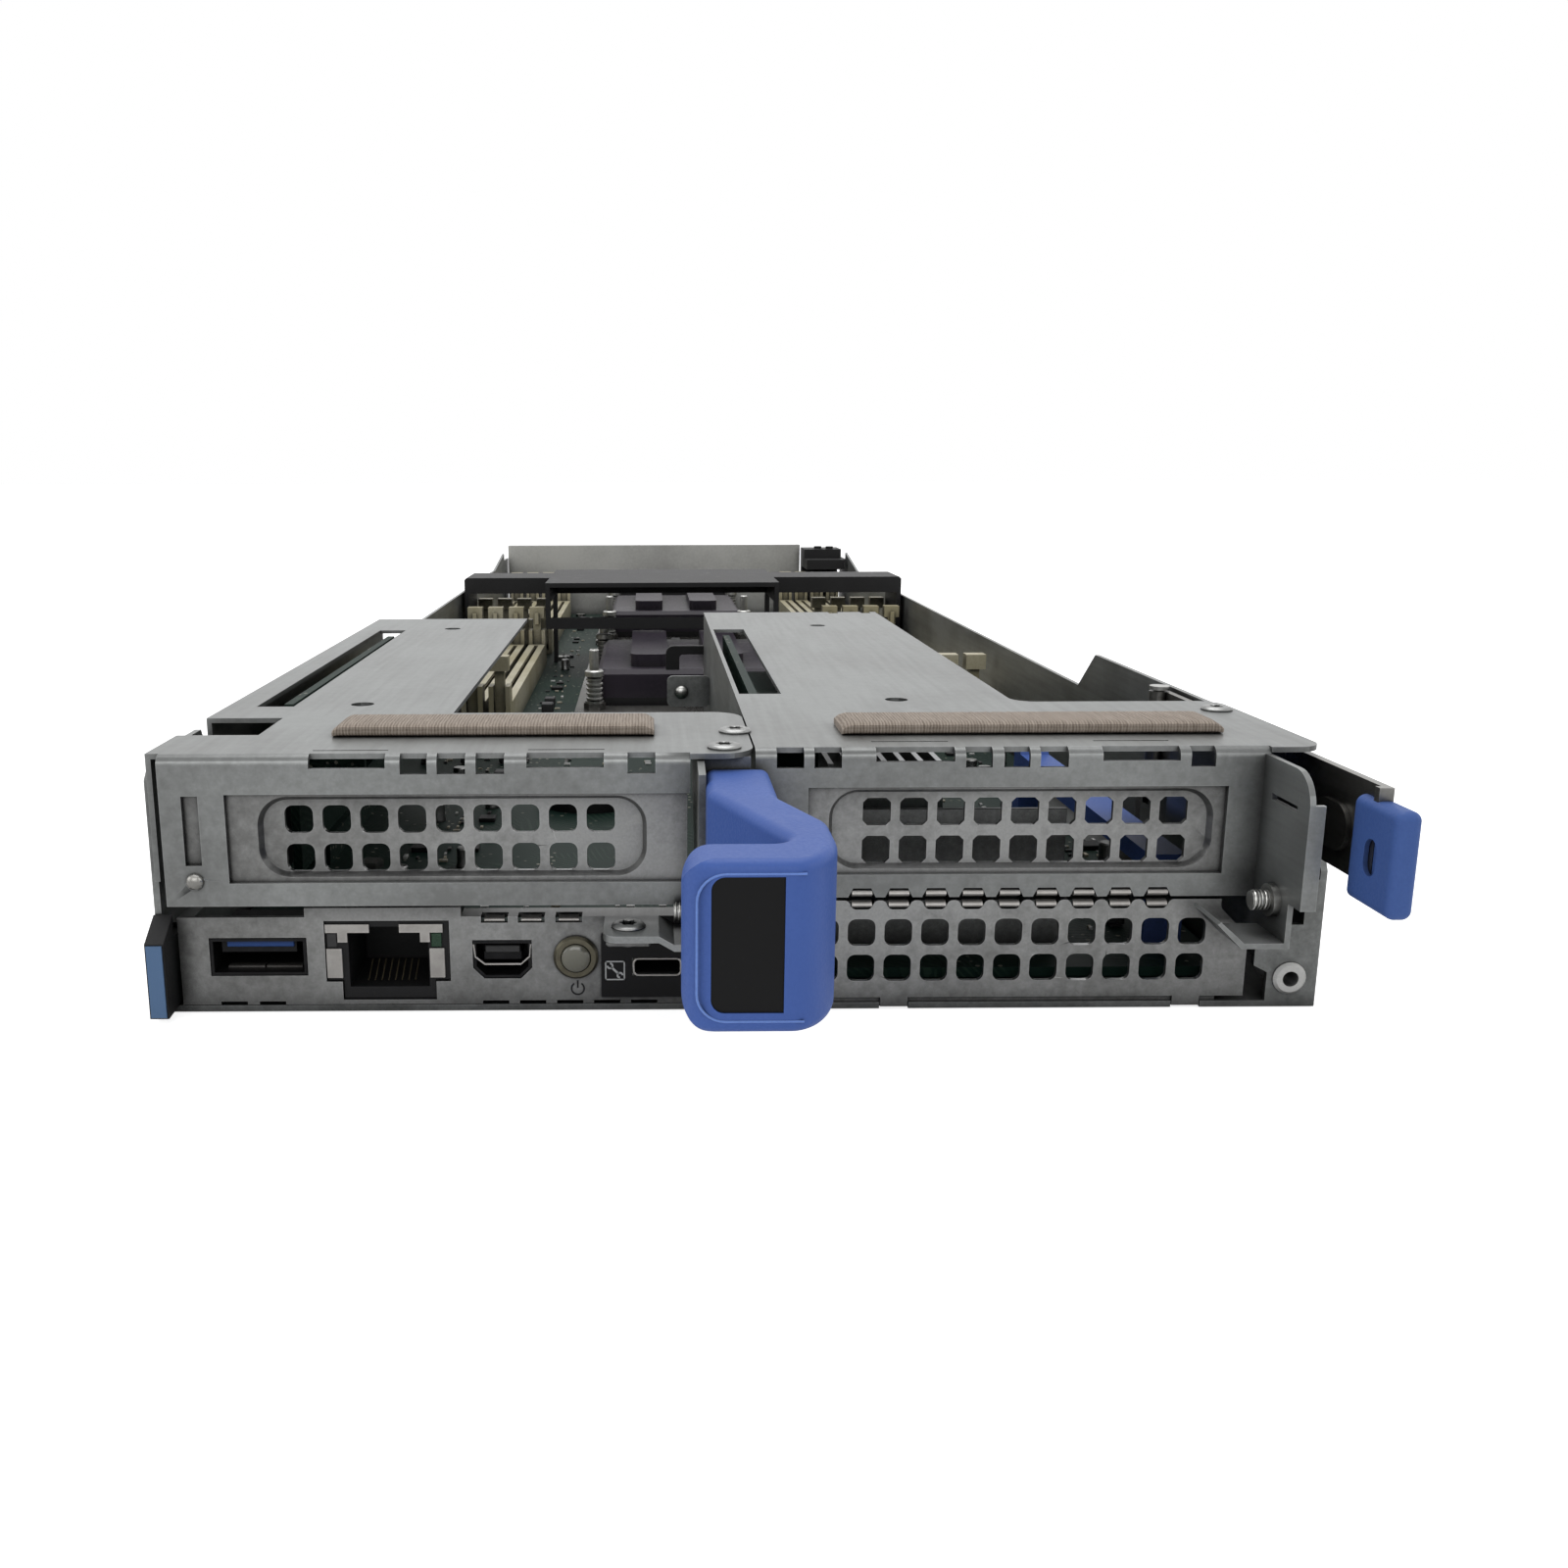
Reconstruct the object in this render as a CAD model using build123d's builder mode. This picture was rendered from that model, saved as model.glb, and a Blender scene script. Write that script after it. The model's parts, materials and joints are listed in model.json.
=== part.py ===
from build123d import *
import os

# A half width, one unit high compute sled: a sheet metal tray with riser covers, ports and a board.
# X runs across the sled, Y from the port end to the rear, Z up. The origin is the middle of the
# underside of the tray floor. Places inside the sled are measured from its left wall (along X),
# from its front plane (along Y) and from its underside (along Z).

# Tray
tray_width = 174.4
tray_length = 526.0
tray_sheet = 1.0
left_wall_height = 32.0
right_wall_height = 30.4
front_wall_height = 38.9
left_ear_length = 24.0
left_ear_slope = 4.0
right_step_front = 109.0
right_step_rear = 120.0
ear_corner_radius = 3.0
rear_ramp_length = 62.0
rear_ramp_peak_inset = 20.0
rear_ramp_height = 37.2
rear_end_height = 33.8
corner_flange_width = 7.6
corner_flange_step = 5.5
corner_flange_slope = 1.1
corner_flange_top_width = 9.7
corner_flange_height = 13.0
corner_strip_width = 2.8
corner_strip_height = 21.4
overrun = 2.0
running_gap = 0.3
fit_gap = 0.05

# Rear wall and the connectors through it
rear_wall_inset = 4.0
rear_wall_start = 1.6
rear_wall_end_inset = 22.4
rear_wall_end = tray_width - rear_wall_end_inset
rear_wall_top = 40.3
rear_lip_depth = 4.0
connector_slot_width = 62.0
connector_slot_height = 13.0
connector_offset = 1.2
connector_slot_centre = tray_width / 2 - connector_offset
connector_recess = 1.0
contact_cell_depth = 3.0
power_block_start_inset = 21.4
power_block_start = tray_width - power_block_start_inset
power_block_end_inset = 2.9
power_block_end = tray_width - power_block_end_inset
power_block_depth = 30.0
power_block_foot = 6.0
power_block_under = 29.5
power_block_top = 38.8
power_step_depth = 12.0
power_step_drop = 4.5
power_screw_radius = 1.9
power_screw_head = 1.2
power_hole_radius = 2.5
power_hole_depth = 4.0
power_hole_height = 17.0

# Riser covers
cover_sheet = 0.8
cover_top = 40.2
cover_bend_radius = 1.5
left_face_reach = 3.0
left_cover_start = 1.0
left_face_start = 3.0
left_face_end = 79.6
left_rear_end = 41.0
left_cover_end = 88.9
left_cover_length = 176.0
left_front_depth = 31.0
left_flange_height = 21.0
right_side_drop = 7.0
tab_corner_radius = 5.0
strip_bottom = 17.6
strip_top = 21.1
left_column_end = 12.4
window_band_bottom = 34.4
right_cover_start = 89.2
right_face_start = 89.2
right_face_end_inset = 10.8
right_face_end = tray_width - right_face_end_inset
right_rear_end_inset = 37.2
right_rear_end = tray_width - right_rear_end_inset
right_cover_end_inset = 2.0
right_cover_end = tray_width - right_cover_end_inset
right_cover_length = 190.0
right_front_depth = 40.0
right_corner_radius = 4.0
right_column_end = 97.0
right_post_start_inset = 15.8
right_post_start = tray_width - right_post_start_inset
right_wall_drop = 11.0
right_wall_front = 12.0
notch_depth = 4.0
notch_width = 4.2

# Fin of the right cover beside the latch
fin_sheet = 0.8
fin_reach = 14.6
fin_top = 39.2
fin_front_bottom = 19.9
fin_foot_reach = 11.0
fin_foot_bottom = 13.2
fin_foot_rear = 6.0
fin_foot_rear_bottom = 8.8
fin_corner_radius = 5.0
fin_return_width = 2.2
fin_return_top = 34.9
fin_lip_start = 157.6
fin_lip_tip = 154.0
fin_lip_rise = 3.6
fin_lip_front = 11.0
fin_lip_rear = 2.0
fin_slot_length = 8.0
fin_slot_height = 0.9
fin_slot_place = 7.0
fin_slot_level = 33.6

# Windows in the front bends, as places from the left wall, with their two heights
left_windows = ((24.8, 35.8, True), (37.9, 41.8, False), (43.2, 47.3, False),
                (48.8, 52.9, False), (56.1, 67.2, True), (70.6, 74.6, False))
right_windows = ((92.3, 96.3, False), (97.8, 101.8, False), (106.8, 118.3, True),
                 (119.9, 123.8, False), (125.5, 129.3, False), (130.8, 134.9, False),
                 (139.9, 151.2, True), (152.8, 156.4, False))
wide_window_height = 2.0
small_window_height = 2.9
window_depth = 2.6
slit_depth = 0.5
left_slit_place = 0.3
right_slit_place = 5.2

# Openings in the cover tops
cover_hole_radius = 2.0
left_slot_start = 6.2
left_slot_width = 6.4
left_slot_front = 38.0
left_slot_rear = 150.0
left_notch_front = 12.4
left_notch_rear = 27.0
left_notch_end = 13.6
left_hole_x = 24.0
left_hole_front = 40.1
left_hole_rear = 153.1
right_slot_width = 7.6
right_slot_front = 49.5
right_slot_rear = 149.4
right_hole_x = 117.2
right_hole_front = 42.7
right_hole_rear = 157.3
comb_notch_width = 2.6
comb_notch_depth = 3.0
comb_notch_first = 124.0
comb_notch_pitch = 9.0
side_slot_width = 2.4
side_slot_height = 10.4
side_slot_x = 7.4
side_slot_z = 29.0
dimple_radius = 1.2
dimple_z = 21.4
dimple_rise = 0.5

# Perforated blanks
hole_pitch = 5.5
hole_width = 4.15
hole_height = 4.2
hole_corner = 0.7
blank_sheet = 0.8
emboss_depth = 1.0
emboss_slope = 0.6
emboss_radius = 4.4
slot_blank_bottom = 20.9
slot_blank_top = 34.9
slot_row_low = 24.5
slot_row_pitch = 5.8
slot_rows = 2
emboss_bottom = 21.8
emboss_top = 33.9
left_blank_start = 4.4
left_blank_end = 79.2
left_emboss_start = 16.8
left_emboss_end = 73.3
left_first_column = 22.6
right_blank_start = 97.4
right_blank_end_inset = 16.2
right_blank_end = tray_width - right_blank_end_inset
right_emboss_start = 100.2
right_emboss_end_inset = 17.4
right_emboss_end = tray_width - right_emboss_end_inset
right_first_column = 107.4
slot_side_margin = 4.2
blank_tab_width = 8.0
blank_lip_depth = 4.0
mezz_start = 83.0
mezz_end_inset = 11.0
mezz_end = tray_width - mezz_end_inset
mezz_bottom = 1.8
mezz_top = 17.1
mezz_chamfer = 4.4
mezz_first_column = 94.4
mezz_side_margin = 6.0
mezz_row_low = 6.5
mezz_row_pitch = 5.6
mezz_lip_depth = 5.0
comb_first = 105.3
comb_count = 9
comb_width = 4.1
comb_depth = 1.4
mezz_foot_width = 4.1
mezz_foot_first = 110.6
mezz_foot_second_inset = 19.6
mezz_foot_second = tray_width - mezz_foot_second_inset
foot_drop = 0.3

# Fabric gaskets on the covers
gasket_height = 1.3
gasket_depth = 10.4
gasket_front = 9.9
left_gasket_start = 26.4
left_gasket_end = 74.4
right_gasket_start = 101.8
right_gasket_end_inset = 14.8
right_gasket_end = tray_width - right_gasket_end_inset
gasket_round = 0.5

# I/O panel and ports
panel_sheet = 0.8
panel_start = 3.2
panel_end = 82.6
panel_bottom = 1.1
panel_top = 14.9
panel_raise_top = 16.3
panel_raise_start = 22.2
panel_raise_end = 45.5
panel_lip_depth = 4.0
panel_notch_width = 4.0
panel_notch_depth = 1.0
panel_top_notches = (50.5, 56.0, 61.6)
panel_bottom_notches = (10.9, 16.7, 50.4, 56.0, 61.6, 67.2, 72.8)
usb_start = 7.7
usb_end = 22.3
usb_bottom = 5.7
usb_top = 11.7
port_shell = 0.4
port_gap = 0.15
usb_depth = 14.0
usb_tongue_thickness = 1.9
usb_tongue_width = 11.2
network_start = 25.0
network_end = 43.7
network_bottom = 4.7
network_top = 14.3
network_low_start = 27.4
network_low_end = 41.5
network_low_bottom = 1.8
network_depth = 18.0
network_cavity_depth = 13.0
network_wall = 0.9
network_key_width = 6.4
display_start = 47.1
display_end = 56.0
display_bottom = 5.1
display_top = 11.2
display_chamfer = 1.7
display_depth = 8.0
display_tongue_height = 1.2
display_tongue_width = 5.6
button_x = 62.6
button_z = 8.5
button_radius = 2.2
button_dome = 0.5
button_reach = 1.4
button_travel = 1.0
button_length = 6.4
bezel_radius = 3.35
bezel_reach = 0.7
bezel_depth = 3.0
switch_width = 7.0
switch_depth = 5.0
service_start = 66.4
service_end = 80.6
service_bottom = 2.2
service_top = 12.1
service_plate = 0.4
service_port_x = 74.8
service_port_z = 7.0
service_port_width = 7.6
service_port_height = 2.9
service_port_depth = 6.0
service_port_wall = 0.3

# Handle bracket, handle and its label
bracket_sheet = 1.0
web_start = 80.6
web_front = 9.0
web_rear = 24.0
tongue_end = 88.4
tongue_reach = 8.0
bracket_foot_start = 67.0
bracket_foot_reach = 9.6
bracket_foot_bottom = 14.0
bracket_foot_drop = 1.3
bracket_step_start = 75.0
bracket_step_width = 2.2
bracket_corner_radius = 2.0
bracket_screw_x = 70.6
bracket_screw_reach = 5.0
bracket_screw_length = 7.0
bracket_nut_size = 7.0
bracket_nut_height = 1.2
handle_top = 37.7
handle_height = 20.6
handle_root_start = 81.6
handle_root_width = 9.4
handle_root_reach = 2.2
handle_reach = 49.3
handle_plate_thickness = 8.3
handle_arm_start = 18.5
handle_arm_end = 31.4
handle_arm_radius = 6.0
handle_inner_start = 15.2
handle_bend_x = 95.8
handle_bend_reach = 38.5
handle_bend_end = 89.8
handle_plate_end = 77.3
handle_end_radius = 3.9
handle_gap_corner_x = 91.0
handle_inner_radius = 2.4
handle_corner_radius = 3.8
handle_edge_radius = 1.4
label_width = 8.2
label_height = 16.0
label_recess = 0.5
label_thickness = 0.3
label_x = 84.7
label_z = 27.8
label_corner_radius = 1.6

# Release latch
latch_sheet = 1.2
latch_x_inset = 3.0
latch_x = tray_width - latch_x_inset
latch_bottom = 24.2
latch_top = 38.4
latch_reach = 18.6
latch_flange_width = 2.0
latch_pivot_y = 62.0
latch_pivot_radius = 1.0
latch_knuckle_radius = 1.8
latch_pivot_x_inset = 3.8
latch_pivot_x = tray_width - latch_pivot_x_inset
latch_tooth_bottom = 21.6
latch_tooth_front = 1.8
latch_tooth_depth = 5.0
latch_tooth_reach = 0.8
latch_slot_margin = 0.8
latch_boss_length = 10.0
latch_boss_width = 6.9
latch_boss_z = 30.3
latch_boss_height = 0.7
latch_boss_y = 6.0
latch_cap_side = 1.5
latch_cap_width = 3.5
latch_cap_reach = 25.2
latch_cap_back = 14.3
latch_cap_bottom = 21.9
latch_cap_top = 36.6
latch_cap_radius = 1.3
latch_cap_window_width = 3.1
latch_cap_window_height = 5.1
latch_cap_window_depth = 0.8
latch_cap_window_y = 19.2
latch_cap_window_z = 29.0
latch_ear_thickness = 1.2
latch_bracket_depth = 8.0
latch_bracket_sheet = 1.0
latch_bracket_width = 6.2
spring_length = 6.0
spring_leg = 7.0
spring_wire = 0.6

# Guide bushing
bushing_x_inset = 4.2
bushing_x = tray_width - bushing_x_inset
bushing_z = 4.6
bushing_radius = 2.5
bushing_bore = 1.2
bushing_reach = 0.6
bushing_length = 7.0

# Pull-out tag
tag_start = 1.2
tag_thickness = 1.4
tag_height = 10.6
tag_bottom = 1.4
tag_blade_length = 62.0
tag_head_start = -0.1
tag_head_width = 2.8
tag_head_reach = 5.0
tag_head_bottom = 0.9
tag_head_top = 12.5
tag_head_rise = 3.0
tag_label_thickness = 0.25
tag_label_margin = 0.25
tag_guide_wall = 0.5
tag_guide_length = 60.0
tag_lip = 1.1

# Board
board_bottom = 3.4
board_thickness = 1.6
board_start = 4.0
board_end_inset = 4.1
board_end = tray_width - board_end_inset
board_front = 4.0
board_rear = 521.0
board_step_end_inset = 11.4
board_step_end = tray_width - board_step_end_inset
board_step_rear = 124.0
board_cut_depth = 16.0
board_corner = 3.0
standoff_radius = 2.5
standoff_shank = 1.6
standoff_hole = 1.2
standoff_front = (20.0, 60.0)
standoff_front_inset = 24.4
standoff_left = 39.0
standoff_right_inset = 39.4
standoff_rows = (190.0, 350.0, 510.0)
board_screw_head = 2.4
board_screw_height = 1.3

# Processor positions
front_socket_y = 271.0
rear_socket_y = 447.0
socket_width = 57.0
socket_length = 78.0
socket_height = 4.0
socket_wall = 4.0
bolster_width = 70.0
bolster_length = 106.0
bolster_sheet = 2.0
bolster_rail = 4.5
bolster_stud_radius = 1.8
bolster_stud_height = 14.0
bolster_stud_x = 58.0
bolster_stud_y = 94.0
bolster_boss_radius = 3.4
bolster_boss_height = 4.0
socket_cover_height = 9.0
socket_cover_rib = 4.0
socket_cover_rib_width = 12.0
socket_cover_wall = 1.5
socket_cover_corner = 3.0

# Memory sockets
dimm_pitch = 7.9
dimm_count = 4
dimm_width = 6.2
dimm_length = 131.0
dimm_height = 8.6
dimm_slot_width = 1.5
dimm_slot_depth = 5.0
tower_length = 6.0
tower_height = 14.0
tower_floor = 1.6
tower_wall = 1.4
tower_slot_width = 3.4
latch_lever_length = 3.0
latch_lever_height = 22.6
latch_lever_pivot = 4.4
trunnion_radius = 0.8
latch_hook_height = 4.2
latch_head_reach = 1.6
left_bank_x = 19.1
socket_offset = 1.15
right_bank_x_inset = 19.2
right_bank_x = tray_width - right_bank_x_inset
socket_x = (left_bank_x + right_bank_x) / 2 - socket_offset
front_bank_y = 264.5
rear_bank_y = 438.0

# Riser cards
riser_board = 1.6
riser_bottom = 8.0
riser_top = 39.2
left_riser_x = 8.8
right_riser_x = 92.2
riser_front = 46.0
riser_rear = 146.0
riser_plug_width = 4.6
riser_plug_length = 70.0
riser_slot_depth = 11.0
riser_slot_length = 89.0
riser_slot_height = 7.6
riser_slot_z = 27.0
riser_key_width = 1.8
riser_key_depth = 7.0

# Other board parts
cell_x = 60.0
cell_y = 112.0
cell_radius = 10.0
cell_height = 3.2
cell_holder_wall = 1.6
cell_holder_height = 4.4
sink_x = 120.0
sink_y = 120.0
sink_size = 38.0
sink_base = 3.0
sink_height = 11.0
sink_fins = 10
sink_fin = 1.2
retainer_x_inset = 21.4
retainer_x = tray_width - retainer_x_inset
retainer_width = 6.0
retainer_front = 14.0
retainer_rear = 96.0
retainer_bottom = 17.0
retainer_thickness = 3.0
retainer_post = 5.0
retainer_hook_height = 7.0

# Air shroud
shroud_front = 342.0
shroud_rear = 368.0
shroud_centre_front = 303.0
shroud_centre_start = 36.5
shroud_bank_gap = 34.2
shroud_centre_end = right_bank_x - shroud_bank_gap
shroud_margin = 1.2
shroud_wall = 1.6
shroud_top = 38.0
shroud_skirt = 6.0
shroud_centre_rise = 1.2
shroud_leg_width = 4.0
shroud_cross_top = 26.6
shroud_cross_height = 4.0
shroud_chamfer = 6.0

# Fasteners
cover_screw_head = 2.5
cover_screw_head_height = 0.7
cover_screw_shank = 1.25
cover_screw_length = 1.5
cover_screw_places = ((84.7, 1.2), (87.0, 13.4))
right_cover_screw_inset = 5.6
right_cover_screw_y = 31.0
right_cover_screw = (tray_width - right_cover_screw_inset, right_cover_screw_y)
frame_screw_radius = 1.3
frame_screw_length = 3.4
frame_screw_head = 2.6
frame_screw_head_height = 0.7
frame_nut_radius = 2.4
frame_nut_height = 1.0
right_screw_y = 6.6
right_screw_z = 19.1
left_screw_y = 4.7
left_screw_z = 17.0

os.makedirs("parts", exist_ok=True)

left = -tray_width / 2
front = -tray_length / 2
half = 0.5

floor_face = Plane(origin=(left, front, 0), x_dir=(1, 0, 0), z_dir=(0, 0, 1))
front_face = Plane(origin=(left, front, 0), x_dir=(1, 0, 0), z_dir=(0, -1, 0))
side_face = Plane(origin=(left, front, 0), x_dir=(0, 1, 0), z_dir=(1, 0, 0))

board_top = board_bottom + board_thickness
standoff_places = [standoff_front, (tray_width - standoff_front_inset, standoff_front[1])]
for standoff_row in standoff_rows:
    standoff_places.append((standoff_left, standoff_row))
    standoff_places.append((tray_width - standoff_right_inset, standoff_row))
cover_under = cover_top - cover_sheet
right_wall_x = tray_width - tray_sheet


def slab(plane, x_low, x_high, y_low, y_high, thickness, mode=Mode.ADD):
    """Adds or cuts a flat rectangular slab that stands on a plane."""
    with BuildSketch(plane) as outline:
        with Locations(((x_low + x_high) / 2, (y_low + y_high) / 2)):
            Rectangle(x_high - x_low, y_high - y_low)
    extrude(to_extrude=outline.sketch, amount=thickness, mode=mode)


def post(plane, places, radius, height, mode=Mode.ADD):
    """Adds or cuts round posts that stand on a plane at the given places."""
    with BuildSketch(plane) as outline:
        with Locations(*places):
            Circle(radius)
    extrude(to_extrude=outline.sketch, amount=height, mode=mode)


def shape(plane, points, thickness, mode=Mode.ADD):
    """Adds or cuts a slab with a straight sided outline that stands on a plane."""
    with BuildSketch(plane) as outline:
        with BuildLine():
            Polyline(*points, close=True)
        make_face()
    extrude(to_extrude=outline.sketch, amount=thickness, mode=mode)


def perforate(plane, first, end, low, rows, row_pitch, depth):
    """Cuts rows of square holes with blunted corners, as many as fit, through a sheet."""
    columns = 1 + int((end - first) / hole_pitch)
    middle_x = first + (columns - 1) * hole_pitch / 2
    middle_y = low + (rows - 1) * row_pitch / 2
    with BuildSketch(plane) as outline:
        with Locations((middle_x, middle_y)):
            with GridLocations(hole_pitch, row_pitch, columns, rows):
                Rectangle(hole_width, hole_height)
        chamfer(outline.vertices(), hole_corner)
    extrude(to_extrude=outline.sketch, amount=depth, mode=Mode.SUBTRACT)


def write(piece, name):
    """Names a finished piece and writes it to its file."""
    piece.part.label = name
    export_step(piece.part, f"parts/{name}.step")


# Tray: floor, two walls with guide ramps at the rear, and the flange at the right front corner
ramp_start = tray_length - rear_ramp_length
ramp_peak = tray_length - rear_ramp_peak_inset
tooth_slot_low = latch_tooth_bottom - latch_slot_margin
tooth_slot_high = latch_bottom + latch_slot_margin

with BuildPart() as tray:
    slab(floor_face, 0, tray_width, 0, tray_length, tray_sheet)
    shape(
        side_face,
        (
            (0, 0),
            (0, front_wall_height - ear_corner_radius),
            (ear_corner_radius, front_wall_height),
            (left_ear_length, front_wall_height),
            (left_ear_length + left_ear_slope, left_wall_height),
            (ramp_start, left_wall_height),
            (ramp_peak, rear_ramp_height),
            (ramp_peak, rear_end_height),
            (tray_length, rear_end_height),
            (tray_length, 0),
        ),
        tray_sheet,
    )
    shape(
        side_face.offset(right_wall_x),
        (
            (0, 0),
            (0, corner_strip_height),
            (latch_tooth_front + latch_tooth_depth + latch_slot_margin * 2, front_wall_height - ear_corner_radius),
            (right_cover_end - right_wall_x + right_front_depth, front_wall_height),
            (right_step_front, front_wall_height),
            (right_step_rear, right_wall_height),
            (ramp_start, right_wall_height),
            (ramp_peak, rear_ramp_height),
            (ramp_peak, rear_end_height),
            (tray_length, rear_end_height),
            (tray_length, 0),
        ),
        tray_sheet,
    )
    slab(
        side_face.offset(right_wall_x - overrun),
        latch_tooth_front - latch_slot_margin,
        latch_tooth_front + latch_tooth_depth + latch_slot_margin,
        tooth_slot_low,
        tooth_slot_high,
        tray_sheet + overrun * 2,
        mode=Mode.SUBTRACT,
    )
    shape(
        front_face.offset(-tray_sheet),
        (
            (tray_width, 0),
            (tray_width - corner_flange_width, 0),
            (tray_width - corner_flange_width, corner_flange_step),
            (tray_width - corner_flange_top_width, corner_flange_step + corner_flange_slope),
            (tray_width - corner_flange_top_width, corner_flange_height),
            (tray_width, corner_flange_height),
        ),
        tray_sheet,
    )
    slab(
        front_face.offset(-tray_sheet),
        tray_width - corner_strip_width,
        tray_width,
        0,
        tooth_slot_low - latch_slot_margin,
        tray_sheet,
    )
    post(
        front_face.offset(-tray_sheet - overrun),
        ((bushing_x, bushing_z),),
        bushing_radius + fit_gap,
        tray_sheet + overrun * 2,
        mode=Mode.SUBTRACT,
    )
    post(
        floor_face.offset(-overrun),
        standoff_places,
        standoff_shank + fit_gap,
        tray_sheet + overrun * 2,
        mode=Mode.SUBTRACT,
    )
    for foot_x in (mezz_foot_first, mezz_foot_second):
        slab(
            floor_face.offset(-overrun),
            foot_x - mezz_foot_width / 2 - port_gap,
            foot_x + mezz_foot_width / 2 + port_gap,
            -overrun,
            panel_sheet + port_gap,
            tray_sheet + overrun * 2,
            mode=Mode.SUBTRACT,
        )
write(tray, "tray")

# Guide bushing in the corner flange
with BuildPart() as guide_bushing:
    post(front_face.offset(-bushing_length), ((bushing_x, bushing_z),), bushing_radius, bushing_length + bushing_reach)
    post(
        front_face.offset(-bushing_length - overrun),
        ((bushing_x, bushing_z),),
        bushing_bore,
        bushing_length + bushing_reach + overrun * 2,
        mode=Mode.SUBTRACT,
    )
    chamfer(
        guide_bushing.edges().filter_by(GeomType.CIRCLE).group_by(Axis.Y)[0].sort_by(SortBy.LENGTH)[-1],
        port_shell,
    )
write(guide_bushing, "guide_bushing")

# Rear wall with a lip along its top and openings for the connectors
wall_back = tray_length - rear_wall_inset
slot_half = connector_slot_width / 2

with BuildPart() as rear_wall:
    slab(
        front_face.offset(-wall_back),
        rear_wall_start,
        rear_wall_end,
        tray_sheet,
        rear_wall_top,
        tray_sheet,
    )
    slab(
        floor_face.offset(rear_wall_top - tray_sheet),
        rear_wall_start,
        rear_wall_end,
        wall_back,
        wall_back + rear_lip_depth,
        tray_sheet,
    )
    slab(
        front_face.offset(-wall_back - overrun),
        connector_slot_centre - slot_half,
        connector_slot_centre + slot_half,
        board_bottom,
        board_top + connector_slot_height,
        tray_sheet + overrun * 2,
        mode=Mode.SUBTRACT,
    )
write(rear_wall, "rear_wall")

# Signal connector on the rear edge of the board
with BuildPart() as signal_connector:
    slab(
        floor_face.offset(board_top),
        connector_slot_centre - slot_half + running_gap,
        connector_slot_centre + slot_half - running_gap,
        board_rear - power_step_depth,
        tray_length - connector_recess,
        connector_slot_height - running_gap,
    )
    with BuildSketch(front_face.offset(-tray_length + connector_recess - overrun)) as contact_cells:
        with Locations((connector_slot_centre, board_top + connector_slot_height / 2)):
            with GridLocations(dimm_pitch, dimm_width, 7, 2):
                Rectangle(dimm_width, latch_hook_height)
    extrude(to_extrude=contact_cells.sketch, amount=contact_cell_depth + overrun, mode=Mode.SUBTRACT)
write(signal_connector, "signal_connector")

# Power connector block at the right rear corner, with a step and two screw heads on top
with BuildPart() as power_connector:
    slab(
        floor_face.offset(board_top),
        power_block_start,
        power_block_end,
        tray_length - power_block_foot,
        tray_length,
        power_block_top - board_top,
    )
    slab(
        floor_face.offset(power_block_under),
        power_block_start,
        power_block_end,
        tray_length - power_block_depth,
        tray_length,
        power_block_top - power_block_under,
    )
    slab(
        floor_face.offset(power_block_top - power_step_drop),
        power_block_start - overrun,
        power_block_end + overrun,
        tray_length - power_block_depth - overrun,
        tray_length - power_block_depth + power_step_depth,
        power_step_drop + overrun,
        mode=Mode.SUBTRACT,
    )
    block_middle = (power_block_start + power_block_end) / 2
    post(
        front_face.offset(-tray_length - overrun),
        (
            (block_middle - power_hole_radius * 2, power_hole_height),
            (block_middle + power_hole_radius * 2, power_hole_height),
        ),
        power_hole_radius,
        power_hole_depth + overrun,
        mode=Mode.SUBTRACT,
    )
    post(
        floor_face.offset(power_block_top),
        (
            (block_middle - power_screw_radius, tray_length - power_step_depth),
            (block_middle + power_screw_radius * 2, tray_length - power_step_depth - power_screw_radius),
        ),
        power_screw_radius,
        power_screw_head,
    )
write(power_connector, "power_connector")


def front_bend(start, end, reach):
    """Adds a front flange with the rounded bend that joins it to a cover's top."""
    outer = -reach
    inner = cover_sheet - reach
    bend_end = cover_bend_radius - reach
    bend_start = cover_top - cover_bend_radius
    with BuildSketch(side_face.offset(start)) as profile:
        with BuildLine():
            Line((outer, strip_bottom), (outer, bend_start))
            TangentArc((outer, bend_start), (bend_end, cover_top), tangent=(0, 1))
            Line((bend_end, cover_top), (bend_end, cover_under))
            TangentArc((bend_end, cover_under), (inner, bend_start), tangent=(-1, 0))
            Line((inner, bend_start), (inner, strip_bottom))
            Line((inner, strip_bottom), (outer, strip_bottom))
        make_face()
    extrude(to_extrude=profile.sketch, amount=end - start)


def cut_windows(face_plane, windows, reach):
    """Cuts the windows through the bend between a cover's front flange and its top."""
    for window_start, window_end, wide in windows:
        window_height = wide_window_height if wide else small_window_height
        slab(
            face_plane.offset(reach + overrun),
            window_start,
            window_end,
            cover_top - window_height,
            cover_top + overrun,
            -overrun - window_depth * half,
            mode=Mode.SUBTRACT,
        )


def cut_slits(windows, place):
    """Cuts a thin slit through a cover's top behind each wide window."""
    for window_start, window_end, wide in windows:
        if wide:
            slab(
                floor_face.offset(cover_under - overrun),
                window_start,
                window_end,
                place - slit_depth / 2,
                place + slit_depth / 2,
                cover_sheet + overrun * 2,
                mode=Mode.SUBTRACT,
            )


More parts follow.
